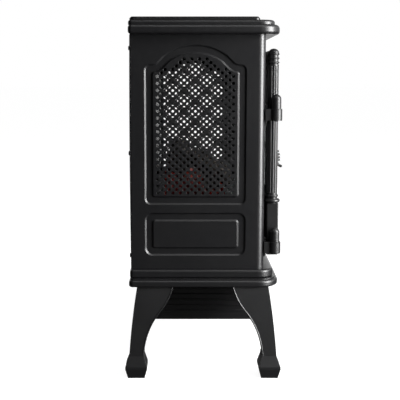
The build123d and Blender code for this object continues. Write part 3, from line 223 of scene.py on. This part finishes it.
def tempered_glass():
    """Clear float glass with a faint green edge tone and a trace of haze."""
    material, tree = blank("tempered_glass")
    haze = speckle(tree, place(tree), 30.0, 5.0, 0.6)
    shader = add(tree, "ShaderNodeBsdfPrincipled", {
        "Base Color": linear("#dfe5e2"), "Roughness": spread(tree, haze, 0.02, 0.07), "IOR": 1.52,
        "Transmission Weight": 1.0})
    close_with(tree, shader.outputs["BSDF"])
    return material


def smoked_acrylic():
    """Back screen: smoked acrylic, with soot-dark courses of brick printed on it."""
    material, tree = blank("smoked_acrylic")
    where = place(tree)
    upright = add(tree, "ShaderNodeMapping", {
        "Vector": where, "Rotation": (math.pi / 2, 0, 0)}).outputs["Vector"]
    courses = add(tree, "ShaderNodeTexBrick", {
        "Vector": upright, "Scale": per(190.0), "Mortar Size": 0.012, "Color1": linear("#1c1a19"),
        "Color2": linear("#252120"), "Mortar": linear("#0c0b0b")})
    soot = speckle(tree, where, 22.0, 6.0, 0.7)
    dark = add(tree, "ShaderNodeMix", {0: spread(tree, soot, 0.0, 0.7), 6: courses.outputs["Color"],
                                       7: linear("#0b0a0a")}, data_type="RGBA").outputs[2]
    shader = add(tree, "ShaderNodeBsdfPrincipled", {
        "Base Color": dark, "Roughness": 0.22, "IOR": 1.49,
        "Normal": relief(tree, courses.outputs["Fac"], 0.4, 0.4)})
    close_with(tree, shader.outputs["BSDF"])
    return material


def ember_resin():
    """Tinted translucent resin: dull red where it is bare, ash grey and soot on the high spots."""
    material, tree = blank("ember_resin")
    where = place(tree)
    lumps = add(tree, "ShaderNodeTexVoronoi", {"Vector": where, "Scale": per(13.0)}).outputs["Distance"]
    fine = speckle(tree, where, 4.0, 5.0, 0.65)
    crust = add(tree, "ShaderNodeMath", {0: lumps, 1: fine}, operation="MULTIPLY").outputs["Value"]
    tone = ramp(tree, crust, [(0.05, linear("#3a0d09")), (0.2, linear("#8d1a0e")), (0.34, linear("#5a130b")),
                              (0.55, linear("#241512"))])
    shader = add(tree, "ShaderNodeBsdfPrincipled", {
        "Base Color": tone, "Roughness": 0.58, "IOR": 1.49, "Subsurface Weight": 0.25,
        "Subsurface Radius": (0.006, 0.0012, 0.0008), "Normal": relief(tree, fine, 0.5, 0.7)})
    close_with(tree, shader.outputs["BSDF"])
    return material


def charred_bark():
    """Painted resin log: charcoal bark with ash on its ridges and warm brown in its cracks."""
    material, tree = blank("charred_bark")
    where = place(tree)
    fibre = add(tree, "ShaderNodeMapping", {"Vector": where, "Scale": (0.25, 1.0, 1.0)}).outputs["Vector"]
    furrow = speckle(tree, fibre, 8.0, 8.0, 0.7)
    flake = add(tree, "ShaderNodeTexVoronoi", {"Vector": fibre, "Scale": per(11.0)}).outputs["Distance"]
    tone = ramp(tree, furrow, [(0.3, linear("#140d09")), (0.48, linear("#211812")), (0.6, linear("#2f2722")),
                               (0.75, linear("#56504b"))])
    under = relief(tree, flake, 1.2, 0.6)
    shader = add(tree, "ShaderNodeBsdfPrincipled", {
        "Base Color": tone, "Roughness": spread(tree, furrow, 0.75, 0.95), "IOR": 1.45,
        "Normal": relief(tree, furrow, 1.5, 0.8, under)})
    close_with(tree, shader.outputs["BSDF"])
    return material


def solder_mask():
    """Circuit board: green lacquer over copper tracks that show as paler lines."""
    material, tree = blank("solder_mask")
    where = place(tree)
    tracks = add(tree, "ShaderNodeTexBrick", {
        "Vector": where, "Scale": per(14.0), "Mortar Size": 0.05, "Color1": linear("#0d4a2a"),
        "Color2": linear("#0f5430"), "Mortar": linear("#2a7a45")}).outputs["Color"]
    shader = add(tree, "ShaderNodeBsdfPrincipled", {
        "Base Color": tracks, "Roughness": 0.35, "IOR": 1.5,
        "Normal": relief(tree, speckle(tree, where, 3.0), 0.05, 0.5)})
    close_with(tree, shader.outputs["BSDF"])
    return material


def lamp_epoxy():
    """Amber epoxy lamp body, a little cloudy."""
    material, tree = blank("amber_epoxy")
    cloud = speckle(tree, place(tree), 2.0)
    tone = ramp(tree, cloud, [(0.3, linear("#e08a34")), (0.7, linear("#f2b35c"))])
    shader = add(tree, "ShaderNodeBsdfPrincipled", {
        "Base Color": tone, "Roughness": 0.12, "IOR": 1.54, "Transmission Weight": 0.5})
    close_with(tree, shader.outputs["BSDF"])
    return material


def ceramic_former():
    """Unglazed cordierite: chalky cream with brown specks from firing."""
    material, tree = blank("unglazed_ceramic")
    where = place(tree)
    specks = speckle(tree, where, 2.2, 6.0, 0.75)
    tone = ramp(tree, specks, [(0.28, linear("#8e7c66")), (0.4, linear("#c9bda8")), (0.7, linear("#d8cfbe"))])
    shader = add(tree, "ShaderNodeBsdfPrincipled", {
        "Base Color": tone, "Roughness": 0.85, "Normal": relief(tree, specks, 0.1, 0.6)})
    close_with(tree, shader.outputs["BSDF"])
    return material


def heating_wire():
    """Resistance wire: blue-grey oxide with straw patches where it has run hot."""
    material, tree = blank("oxidised_resistance_wire")
    heat = speckle(tree, place(tree), 12.0, 4.0)
    tone = ramp(tree, heat, [(0.3, linear("#4b5159")), (0.55, linear("#6f6558")), (0.75, linear("#83704f"))])
    shader = add(tree, "ShaderNodeBsdfPrincipled", {"Base Color": tone, "Metallic": 1.0, "Roughness": 0.42})
    close_with(tree, shader.outputs["BSDF"])
    return material


sheet_coat = painted("satin_powder_coat", "#08080a", "#0d0d0e", 1.6, 0.02, 0.36)
cast_coat = cast("painted_cast_iron", "#0a0a0b", "#101011")
enamel = painted("black_enamelled_rod", "#101011", "#191919", 2.4, 0.02, 0.24, 30.0)
oxide = bare_metal("black_oxide_steel", "#1c1c1d", "#2a2a2b", 0.4, 1.0)
zinc = galvanised_sheet()
nylon = moulded("glass_filled_nylon", "#131314", "#1a1a1b", 0.55)
knob_plastic = moulded("satin_abs", "#171718", "#1e1e1f", 0.38, 1.0, 0.015)
bare_steel = bare_metal("rolled_steel", "#8b8d8f", "#a3a5a7", 0.35, 1.2)
mill_aluminium = bare_metal("mill_aluminium", "#b4b7ba", "#cdd0d2", 0.3, 1.5)
# The flame reflector's aluminium is drawn near black as painted shade, so that its walls stay dark where they show
# through the side holes.
shade_dark_aluminium = bare_metal("aluminium_drawn_dark_as_shade", "#1d1d1e", "#2b2b2c", 0.6, 1.5)
glass = tempered_glass()
acrylic = smoked_acrylic()
ember = ember_resin()
bark = charred_bark()
board = solder_mask()
epoxy = lamp_epoxy()
ceramic = ceramic_former()
wire = heating_wire()

FINISHES = {
    "cabinet_paint": sheet_coat, "door_paint": cast_coat, "hinge_paint": cast_coat, "screw_steel": oxide,
    "handle_steel": enamel, "coil_nickel": enamel, "door_glass": glass, "galvanised": zinc,
    "control_plastic": nylon, "knob_plastic": knob_plastic, "spindle_steel": bare_steel,
    "ember_plastic": ember, "log_bark": bark, "flame_screen": acrylic, "reflector": shade_dark_aluminium,
    "circuit_board": board, "led_lens": epoxy, "blower_aluminium": mill_aluminium,
    "ceramic_former": ceramic, "heating_wire": wire,
}
for part in frame["record"]["subparts"]:
    for coat in frame["nodes"][part["node"]].material_slots:
        coat.material = FINISHES[part["material_slot"]]
LEGS = ("leg_front_left", "leg_front_right", "leg_rear_left", "leg_rear_right")
for leg in LEGS:                               # cast, unlike the rest of the cabinet
    frame["nodes"][leg].material_slots[0].material = cast_coat


# ---------------------------------------------------------------- making and placing new pieces
SAME_POINT = 1e-6


def new_verts(result):
    """The vertices that a bmesh operator made."""
    return [v for v in result["geom"] if isinstance(v, bmesh.types.BMVert)]


def close(shape, name, body, slot, stands_for=(), smooth_angle=35.0):
    """Ends a bmesh: merged, turned outwards, and made a piece that rides on a body in its slot's finish."""
    bmesh.ops.remove_doubles(shape, verts=shape.verts, dist=SAME_POINT)
    bmesh.ops.recalc_face_normals(shape, faces=shape.faces)
    mesh = bpy.data.meshes.new(name)
    shape.to_mesh(mesh)
    shape.free()
    mesh.materials.append(FINISHES[slot])
    mesh.polygons.foreach_set("use_smooth", [True] * len(mesh.polygons))
    mesh.set_sharp_from_angle(angle=math.radians(smooth_angle))
    piece = bpy.data.objects.new(name, mesh)
    bpy.context.scene.collection.objects.link(piece)
    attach(piece, body)
    if stands_for:
        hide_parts(*stands_for)


def wires(name, runs, radius, body, slot, stands_for=(), sides=3, closed=False):
    """Round rod or wire that follows each run of points, made a mesh."""
    line = bpy.data.curves.new(name, "CURVE")
    line.dimensions = "3D"
    line.bevel_depth = radius
    line.bevel_resolution = sides
    line.use_fill_caps = not closed
    for run in runs:
        spline = line.splines.new("POLY")
        spline.points.add(len(run) - 1)
        for point, where in zip(spline.points, run):
            point.co = (*where, 1.0)
        spline.use_cyclic_u = closed
    holder = bpy.data.objects.new(name + "_line", line)
    mesh = bpy.data.meshes.new_from_object(holder)
    bpy.data.objects.remove(holder)
    bpy.data.curves.remove(line)
    shape = bmesh.new()
    shape.from_mesh(mesh)
    bpy.data.meshes.remove(mesh)
    close(shape, name, body, slot, stands_for)


def islands(node):
    """(middle, low, high) of each separate solid in a CAD node."""
    shape = bmesh.new()
    shape.from_mesh(frame["nodes"][node].data)
    bmesh.ops.remove_doubles(shape, verts=shape.verts, dist=SAME_POINT)
    waiting = set(shape.verts)
    found = []
    while waiting:
        group, edge = set(), [waiting.pop()]
        while edge:
            vert = edge.pop()
            group.add(vert)
            for link in vert.link_edges:
                other = link.other_vert(vert)
                if other in waiting:
                    waiting.discard(other)
                    edge.append(other)
        low = Vector(min(v.co[i] for v in group) for i in range(3))
        high = Vector(max(v.co[i] for v in group) for i in range(3))
        found.append(((low + high) / 2, low, high))
    shape.free()
    return sorted(found, key=lambda item: tuple(round(value, 4) for value in item[0]))


def arc(start, end, bow, count):
    """Points of a shallow arc in a plane; a positive bow is to the left of the way it runs."""
    start, end = Vector(start), Vector(end)
    along = end - start
    left = Vector((-along.y, along.x)).normalized()
    return [start + along * t + left * bow * (1 - (2 * t - 1) ** 2)
            for t in (i / count for i in range(count + 1))]


# ---------------------------------------------------------------- logs and embers
BARK_SIDES = 44
BARK_STEP = 2.2 * MM
FURROW_DEPTH, RIDGE_DEPTH, SWELL_DEPTH = 0.10, 0.16, 0.05      # shares of a log's radius
BACK_LOG_RADIUS, FRONT_LOG_RADIUS, CROSS_LOG_RADIUS = 21.0 * MM, 16.0 * MM, 11.5 * MM
FRONT_LEDGE, LEDGE_HEIGHT = 23.0 * MM, 9.0 * MM                # level strip along the bed's front
LUMP_DEPTH, CRUMB_DEPTH, THINNEST_BED = 6.5 * MM, 1.2 * MM, 1.5 * MM


def axis_of(node, radius):
    """Ends of a leaning log's axis, from its box: the back end is the higher one."""
    low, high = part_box(node)
    mid_x = (low.x + high.x) / 2
    verts = frame["nodes"][node].data.vertices
    far = [v.co.x for v in verts if v.co.y > high.y - 0.2 * (high.y - low.y)]
    swing = 1 if sum(far) / len(far) > mid_x else -1
    way = Vector((0, high.y - low.y, high.z - low.z)).normalized()
    for _ in range(6):
        margin = Vector([radius * math.sqrt(max(0.0, 1 - part * part)) for part in way])
        start, end = low + margin, high - margin
        way = (end - start).normalized()
    if swing < 0:
        start.x, end.x = end.x, start.x
    return start, end


def bark_log(name, start, end, radius, seed):
    """A split branch: furrowed bark along it, a few knots, and a rough sawn face at each end."""
    way = end - start
    length = way.length
    shape = bmesh.new()
    bmesh.ops.create_cone(shape, cap_ends=True, segments=BARK_SIDES, radius1=radius, radius2=radius,
                          depth=length)
    long_edges = [e for e in shape.edges if abs(e.verts[0].co.z - e.verts[1].co.z) > 0.5 * length]
    bmesh.ops.subdivide_edges(shape, edges=long_edges, cuts=int(length / BARK_STEP), use_grid_fill=True)
    sawn_ends = [f for f in shape.faces if abs(f.normal.z) > 0.9]
    for share in (0.144, 0.088, 0.04):
        bmesh.ops.inset_region(shape, faces=sawn_ends, thickness=radius * share, use_even_offset=True)
    shift = Vector((seed * 3.7, seed * 1.3, seed * 2.1))
    for vert in shape.verts:
        around = Vector((vert.co.x, vert.co.y, 0.0))
        if around.length < SAME_POINT:
            continue
        out = around.normalized()
        furrow = noise.fractal(Vector((out.x * 3.2, out.y * 3.2, vert.co.z * 22.0)) + shift, 0.8, 2.2, 4)
        ridge = abs(noise.noise(Vector((out.x * 7.0, out.y * 7.0, vert.co.z * 30.0)) + shift * 2))
        swell = noise.noise(Vector((out.x, out.y, vert.co.z * 9.0)) + shift * 3)
        depth = radius * (FURROW_DEPTH * min(0.0, furrow) - RIDGE_DEPTH * ridge
                          + SWELL_DEPTH * min(0.0, swell))
        share = min(1.0, around.length / radius)
        vert.co += out * depth * share
        if share < 0.97:                       # on a sawn end
            vert.co.z -= math.copysign(1, vert.co.z) * radius * 0.05 * abs(noise.noise(vert.co * 400 + shift))
    turn = way.to_track_quat("Z", "Y").to_matrix().to_4x4()
    bmesh.ops.transform(shape, matrix=Matrix.Translation((start + end) / 2) @ turn, verts=shape.verts)
    close(shape, name, "cabinet", "log_bark", (name.replace("bark_", "log_"),), 60.0)


def ember_bed():
    """Moulded bed of embers: a slope of rounded lumps, each set at its own height."""
    low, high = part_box("ember_bed")
    wide, deep = high.x - low.x, high.y - low.y
    shape = bmesh.new()
    bmesh.ops.create_grid(shape, x_segments=120, y_segments=44, size=0.5)
    for vert in shape.verts:
        x = low.x + (vert.co.x + 0.5) * wide
        y = low.y + (vert.co.y + 0.5) * deep
        rise = max(0.0, y - low.y - FRONT_LEDGE) / (deep - FRONT_LEDGE)
        top = low.z + LEDGE_HEIGHT + rise * (high.z - low.z - LEDGE_HEIGHT)
        near, _ = noise.voronoi(Vector((x * 75, y * 75, 3.0)))
        lump = 1.0 - min(1.0, near[0] / 0.62) ** 2
        fine = noise.fractal(Vector((x, y, 0.0)) * 260, 0.9, 2.0, 3)
        drop = (1.0 - lump) * LUMP_DEPTH + abs(fine) * CRUMB_DEPTH
        vert.co = Vector((x, y, max(low.z + THINNEST_BED, top - drop)))
    rim = [e for e in shape.edges if e.is_boundary]
    skirt = bmesh.ops.extrude_edge_only(shape, edges=rim)
    for vert in new_verts(skirt):
        vert.co.z = low.z
    bmesh.ops.holes_fill(shape, edges=[e for e in shape.edges if e.is_boundary], sides=0)
    close(shape, "ember_lumps", "cabinet", "ember_plastic", ("ember_bed",), 50.0)


def log_pile():
    """A back log, a half-buried front log, and three that lean across them."""
    low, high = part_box("log_back")
    middle_y, axis_z = (low.y + high.y) / 2, high.z - BACK_LOG_RADIUS
    bark_log("bark_back", Vector((low.x, middle_y, axis_z)), Vector((high.x, middle_y, axis_z)),
             BACK_LOG_RADIUS, 21.0)
    low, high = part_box("log_front")
    axis_y, axis_z = low.y + FRONT_LOG_RADIUS, high.z - FRONT_LOG_RADIUS
    bark_log("bark_front", Vector((low.x, axis_y, axis_z)), Vector((high.x, axis_y, axis_z)),
             FRONT_LOG_RADIUS, 16.0)
    for seed, side in enumerate(("left", "middle", "right")):
        start, end = axis_of(f"log_cross_{side}", CROSS_LOG_RADIUS)
        bark_log(f"bark_cross_{side}", start, end, CROSS_LOG_RADIUS, 3.0 + seed)


log_pile()
ember_bed()


# ---------------------------------------------------------------- handle coil
COIL_WIRE_RADIUS, COIL_RADIUS, COIL_PITCH, COIL_TURNS = 2.1 * MM, 5.2 * MM, 5.7 * MM, 9.4
COIL_STEPS = 26                                # points in a turn
HANDLE_BEND, BEND_FORWARD = 28.0 * MM, 22.3 * MM               # bend's radius, and its start before the pivot


def handle_coil():
    """One wire wound closely along the handle's bend, so that the grip stays cool."""
    pivot = next(Vector(j["pos_m"]) for j in frame["joints"] if j["name"] == "latch_turn")
    start_y = pivot.y - BEND_FORWARD
    quarter = math.pi / 2 * HANDLE_BEND
    points = []
    for i in range(int(COIL_TURNS * COIL_STEPS) + 1):
        along = max(0.0, i / COIL_STEPS * COIL_PITCH - 0.1 * COIL_PITCH)
        angle = min(along, quarter) / HANDLE_BEND
        beyond = max(0.0, along - quarter)
        middle = Vector((pivot.x, start_y - HANDLE_BEND * math.sin(angle),
                         pivot.z - HANDLE_BEND * (1 - math.cos(angle)) - beyond))
        outward = Vector((0, -math.sin(angle), math.cos(angle)))
        turn = 2 * math.pi * i / COIL_STEPS
        points.append(middle + COIL_RADIUS * (outward * math.cos(turn)
                                              + Vector((1, 0, 0)) * math.sin(turn)))
    wires("wound_coil", [points], COIL_WIRE_RADIUS, "latch", "coil_nickel", ("handle_coil",), 4)


handle_coil()


# ---------------------------------------------------------------- screws
HEAD_RADIUS, HEAD_HEIGHT, RECESS_DEPTH = 3.6 * MM, 2.0 * MM, 1.0 * MM
HEAD_SIDES = 16
HEAD_PROFILE = ((0.72, 0.97), (0.88, 0.82), (0.97, 0.5), (1.0, 0.25), (1.0, 0.0))   # shares: radius, height


def ring_out(shape, edges, radius, height):
    """Grows a disc: its edge is drawn out to a new radius and height."""
    grown = bmesh.ops.extrude_edge_only(shape, edges=edges)
    for vert in new_verts(grown):
        flat = Vector((vert.co.x, vert.co.y, 0.0)).normalized() * radius
        vert.co = Vector((flat.x, flat.y, height))
    return [e for e in grown["geom"] if isinstance(e, bmesh.types.BMEdge)]


def in_cross(face):
    """True for the four faces, a quarter turn apart, that are a cross recess's arms."""
    middle = face.calc_center_median()
    half_side = 180 / HEAD_SIDES
    return round(math.degrees(math.atan2(middle.y, middle.x)) - half_side) % 90 == 0


def pan_head():
    """Pan head with a cross recess, its seat at z = 0 and facing +Z."""
    shape = bmesh.new()
    bmesh.ops.create_circle(shape, cap_ends=True, segments=HEAD_SIDES, radius=0.14 * HEAD_RADIUS,
                            matrix=Matrix.Translation((0, 0, HEAD_HEIGHT)))
    centre = list(shape.faces)
    edges = ring_out(shape, list(shape.edges), 0.55 * HEAD_RADIUS, HEAD_HEIGHT)
    cross = centre + [f for f in shape.faces if f not in centre and in_cross(f)]
    for share, level in HEAD_PROFILE:
        edges = ring_out(shape, edges, share * HEAD_RADIUS, level * HEAD_HEIGHT)
    bmesh.ops.holes_fill(shape, edges=edges, sides=0)
    sunk = bmesh.ops.extrude_face_region(shape, geom=cross)
    bmesh.ops.delete(shape, geom=cross, context="FACES")
    bmesh.ops.translate(shape, vec=(0, 0, -RECESS_DEPTH), verts=new_verts(sunk))
    return shape


def screws():
    """Pan heads in the back cover and the top plate's rim, each turned its own way."""
    shape = bmesh.new()
    for i, (middle, _, high) in enumerate(islands("cover_screws")):
        seat = Vector((middle.x, high.y - HEAD_HEIGHT, middle.z))
        head = pan_head()
        turn = Matrix.Rotation(-math.pi / 2, 4, "X") @ Matrix.Rotation(i * 0.61, 4, "Z")
        bmesh.ops.transform(head, matrix=Matrix.Translation(seat) @ turn, verts=head.verts)
        bmesh.ops.recalc_face_normals(head, faces=head.faces)
        mesh = bpy.data.meshes.new("head")
        head.to_mesh(mesh)
        head.free()
        shape.from_mesh(mesh)
        bpy.data.meshes.remove(mesh)
    close(shape, "cross_head_screws", "cabinet", "screw_steel", ("cover_screws",))


screws()


# ---------------------------------------------------------------- leg lips
LEG_TOP, LEG_KNEE, LEG_ANKLE = 150.0, 111.5, 37.0              # heights
ANKLE_OUT, ANKLE_IN, KNEE_IN = 6.4, 31.0, 60.0                 # inwards from the foot's outer edge
SIDE_TOP_OUT, FRONT_TOP_OUT, TOP_WIDE = 19.0, 24.9, 60.5       # side view, front view
SKIN_BOW, SHIN_BOW, HAUNCH_BOW = 1.4, 6.7, -2.4
LIP_RADIUS, LIP_INSET, LIP_DEPTH = 1.5 * MM, 1.6, 0.9          # in from the edge, and in from the skin


def leg_line(top_out, inner):
    """Outline of a leg in one view, as (inwards, height) points in millimetres from the ankle up."""
    if not inner:
        return arc((ANKLE_OUT, LEG_ANKLE), (top_out, LEG_TOP), SKIN_BOW, 24)
    return (arc((ANKLE_IN, LEG_ANKLE), (KNEE_IN, LEG_KNEE), SHIN_BOW, 24)
            + arc((KNEE_IN, LEG_KNEE), (top_out + TOP_WIDE, LEG_TOP - 0.6), HAUNCH_BOW, 12)[1:])


def at_height(line, height):
    """How far in a leg's outline lies at a height."""
    for a, b in zip(line, line[1:]):
        if a.y <= height <= b.y:
            return a.x + (b.x - a.x) * (height - a.y) / (b.y - a.y)
    return line[-1].x if height > line[-1].y else line[0].x


def leg_lips():
    """Raised lip along the inner edge of each leg's two faces."""
    for leg in LEGS:
        low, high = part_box(leg)
        out_x, in_x = (low.x, 1) if "left" in leg else (high.x, -1)
        out_y, in_y = (low.y, 1) if "front" in leg else (high.y, -1)
        side_run, face_run = [], []
        for inwards, height in leg_line(SIDE_TOP_OUT, True):
            skin = at_height(leg_line(FRONT_TOP_OUT, False), height)
            side_run.append(Vector((out_x + in_x * (skin + LIP_DEPTH) * MM,
                                    out_y + in_y * (inwards - LIP_INSET) * MM, height * MM)))
        for inwards, height in leg_line(FRONT_TOP_OUT, True):
            skin = at_height(leg_line(SIDE_TOP_OUT, False), height)
            face_run.append(Vector((out_x + in_x * (inwards - LIP_INSET) * MM,
                                    out_y + in_y * (skin + LIP_DEPTH) * MM, height * MM)))
        wires(leg.replace("leg_", "lip_"), [side_run, face_run], LIP_RADIUS, "cabinet", "cabinet_paint")


leg_lips()


# ---------------------------------------------------------------- door mouldings
WINDOW_BEAD, RAIL_BEAD, INNER_BEAD = 2.4 * MM, 2.2 * MM, 1.4 * MM      # radii
WINDOW_INSET = 3.5 * MM
PANEL_FOOT, PANEL_HEAD, PANEL_SIDE, PANEL_STEP = 11.0 * MM, 8.0 * MM, 2.0 * MM, 9.0 * MM
PANEL_CORNER, INNER_CORNER = 9.0 * MM, 5.0 * MM


def glass_outline(inset):
    """The window's outline seen from the front, moved in from the glass's edge."""
    shape = bmesh.new()
    shape.from_mesh(frame["nodes"]["door_glass"].data)
    bmesh.ops.remove_doubles(shape, verts=shape.verts, dist=SAME_POINT)
    front = min(v.co.y for v in shape.verts)
    faces = [f for f in shape.faces if all(v.co.y < front + 1e-5 for v in f.verts)]
    rim = {}
    for edge in shape.edges:
        if sum(f in faces for f in edge.link_faces) == 1:
            for vert in edge.verts:
                rim.setdefault(vert, []).append(edge.other_vert(vert))
    start = min(rim, key=lambda v: (v.co.z, v.co.x))
    loop, last, now = [start], None, start
    while True:
        onward = [v for v in rim[now] if v is not last]
        last, now = now, onward[0]
        if now is start:
            break
        loop.append(now)
    flat = [Vector((v.co.x, v.co.z)) for v in loop]
    shape.free()
    area = sum(a.x * b.y - b.x * a.y for a, b in zip(flat, flat[1:] + flat[:1]))
    moved = []
    for i, point in enumerate(flat):
        before, after = flat[i - 1], flat[(i + 1) % len(flat)]
        along = (after - before).normalized()
        inward = Vector((-along.y, along.x)) * (1 if area > 0 else -1)
        moved.append(point + inward * inset)
    return moved


def rounded(x0, x1, z0, z1, corner, steps=8):
    """Rounded rectangle, as a loop of (x, z) points."""
    points = []
    for cx, cz, start in ((x1 - corner, z1 - corner, 0), (x0 + corner, z1 - corner, 90),
                          (x0 + corner, z0 + corner, 180), (x1 - corner, z0 + corner, 270)):
        for i in range(steps + 1):
            angle = math.radians(start + 90 * i / steps)
            points.append(Vector((cx + corner * math.cos(angle), cz + corner * math.sin(angle))))
    return points


def bead(name, outline, radius, depth, sides):
    """Half-round bead along an (x, z) outline, its middle a little behind the door's face."""
    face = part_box("door_bottom_rail")[0].y
    wires(name, [[Vector((p.x, face + depth, p.y)) for p in outline]], radius, "door", "door_paint", (),
          sides, True)


def door_mouldings():
    """A bead round the window, and a beaded panel on the rail under it."""
    rail_low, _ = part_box("door_bottom_rail")
    glass_low, glass_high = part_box("door_glass")
    low, high = rail_low.z + PANEL_FOOT, glass_low.z - PANEL_HEAD
    half = glass_high.x - PANEL_SIDE
    bead("window_bead", glass_outline(WINDOW_INSET), WINDOW_BEAD, 0.4 * MM, 4)
    bead("rail_bead", rounded(-half, half, low, high, PANEL_CORNER), RAIL_BEAD, 0.5 * MM, 3)
    bead("rail_inner_bead", rounded(PANEL_STEP - half, half - PANEL_STEP, low + PANEL_STEP,
                                    high - PANEL_STEP, INNER_CORNER), INNER_BEAD, 0.5 * MM, 3)


door_mouldings()


# ---------------------------------------------------------------- heating coils
HEATER_WIRE_RADIUS, HEATER_COIL_RADIUS, HEATER_PITCH = 0.4 * MM, 2.0 * MM, 3.2 * MM
HEATER_STEPS = 10                              # points in a turn


def heating_coils():
    """Coiled resistance wire, strung between the ceramic ends."""
    runs = []
    for middle, low, high in islands("heating_coils"):
        last = int((high.x - low.x) / HEATER_PITCH) * HEATER_STEPS
        run = []
        for i in range(last + 1):
            turn = 2 * math.pi * i / HEATER_STEPS
            run.append(Vector((low.x + (high.x - low.x) * i / last,
                               middle.y + HEATER_COIL_RADIUS * math.cos(turn),
                               middle.z + HEATER_COIL_RADIUS * math.sin(turn))))
        runs.append(run)
    wires("coiled_wires", runs, HEATER_WIRE_RADIUS, "cabinet", "heating_wire", ("heating_coils",), 1)


heating_coils()


# ---------------------------------------------------------------- floor, light and camera
FLOOR_RADIUS = 60.0
FLOOR_GLOW = 0.93
WORLD_DARK = 0.05                              # behind the stove
WORLD_BRIGHT = 1.1                             # in front of it
SOFT_BOXES = (                                 # name, place, width, height, watts
    ("front_key", (-0.92, -1.5, 0.6), 0.8, 1.8, 135.0),
    ("edge_strip", (-0.42, -0.36, 0.45), 0.16, 0.9, 1.2),
    ("right_fill", (1.9, -0.6, 0.6), 1.2, 1.2, 7.0),
    ("back_fill", (1.7, 1.5, 0.9), 1.8, 1.8, 13.0),
    ("top_strip", (-1.0, -0.25, 1.9), 1.4, 0.3, 8.0),
)
FOCAL = 70.0                                   # lens on a 36 mm sensor
EYE_AWAY, EYE_BACK = 1.275, 0.1335             # from the left panel's front corner
EYE_HEIGHT = 0.4912
TILT = math.radians(6.84)                      # a little down, so that little lens shift is needed
RISE, DRIFT = -0.065, 0.0395                   # lens shift


def soft_box(name, where, target, width, height, watts):
    """Area light that faces the target."""
    light = bpy.data.lights.new(name, "AREA")
    light.shape = "RECTANGLE"
    light.size, light.size_y, light.energy = width, height, watts
    holder = bpy.data.objects.new(name, light)
    bpy.context.scene.collection.objects.link(holder)
    holder.location = where
    holder.visible_camera = False
    holder.rotation_euler = (target - Vector(where)).to_track_quat("-Z", "Y").to_euler()


def floor():
    """Matt white floor: it looks evenly lit, and lights the stove's underside only a little."""
    shape = bmesh.new()
    bmesh.ops.create_circle(shape, cap_ends=True, segments=96, radius=FLOOR_RADIUS)
    mesh = bpy.data.meshes.new("studio_floor")
    shape.to_mesh(mesh)
    shape.free()
    sweep = bpy.data.objects.new("studio_floor", mesh)
    bpy.context.scene.collection.objects.link(sweep)
    material, tree = blank("matt_white_floor")
    tone = ramp(tree, speckle(tree, place(tree), 400.0), [(0.0, linear("#8c8c8c")), (1.0, linear("#909090"))])
    matt = add(tree, "ShaderNodeBsdfDiffuse", {"Color": tone})
    glow = add(tree, "ShaderNodeEmission", {"Color": (1, 1, 1, 1), "Strength": FLOOR_GLOW})
    shown = add(tree, "ShaderNodeAddShader", {0: matt.outputs["BSDF"], 1: glow.outputs["Emission"]})
    dim = add(tree, "ShaderNodeBsdfDiffuse", {"Color": linear("#4a4a4a")})
    ray = add(tree, "ShaderNodeLightPath").outputs["Is Camera Ray"]
    both = add(tree, "ShaderNodeMixShader", {0: ray, 1: dim.outputs["BSDF"], 2: shown.outputs["Shader"]})
    close_with(tree, both.outputs["Shader"])
    mesh.materials.append(material)


def surroundings():
    """White behind everything; what the paint mirrors is bright in front and dark behind."""
    white = (1, 1, 1, 1)
    world = bpy.data.worlds.new("studio")
    world.use_nodes = True
    tree = world.node_tree
    tree.nodes.clear()
    direction = add(tree, "ShaderNodeTexCoord").outputs["Generated"]
    parts = add(tree, "ShaderNodeSeparateXYZ", {"Vector": direction})
    towards_front = add(tree, "ShaderNodeMapRange", {
        "Value": parts.outputs["Y"], "From Min": -0.1, "From Max": -1.0,
        "To Min": WORLD_DARK, "To Max": WORLD_BRIGHT})
    lit = add(tree, "ShaderNodeBackground", {"Color": white, "Strength": towards_front.outputs["Result"]})
    seen = add(tree, "ShaderNodeBackground", {"Color": white, "Strength": 1.0})
    ray = add(tree, "ShaderNodeLightPath").outputs["Is Camera Ray"]
    both = add(tree, "ShaderNodeMixShader", {
        0: ray, 1: lit.outputs["Background"], 2: seen.outputs["Background"]})
    add(tree, "ShaderNodeOutputWorld", {"Surface": both.outputs["Shader"]})
    bpy.context.scene.world = world


def camera():
    """The stove from its left side, with the front at the picture's right."""
    panel_low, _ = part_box("left_side_panel")
    lens = bpy.data.cameras.new("camera")
    lens.lens, lens.sensor_width = FOCAL, 36.0
    lens.shift_x, lens.shift_y = DRIFT, RISE
    holder = bpy.data.objects.new("camera", lens)
    bpy.context.scene.collection.objects.link(holder)
    holder.location = (panel_low.x - EYE_AWAY, panel_low.y + EYE_BACK, EYE_HEIGHT)
    holder.rotation_euler = Vector((math.cos(TILT), 0, -math.sin(TILT))).to_track_quat("-Z", "Y").to_euler()
    bpy.context.scene.camera = holder


floor()
surroundings()
for box_name, where, width, height, watts in SOFT_BOXES:
    soft_box(box_name, where, (cad_low + cad_high) / 2, width, height, watts)
camera()
bpy.context.scene.view_settings.view_transform = "Standard"
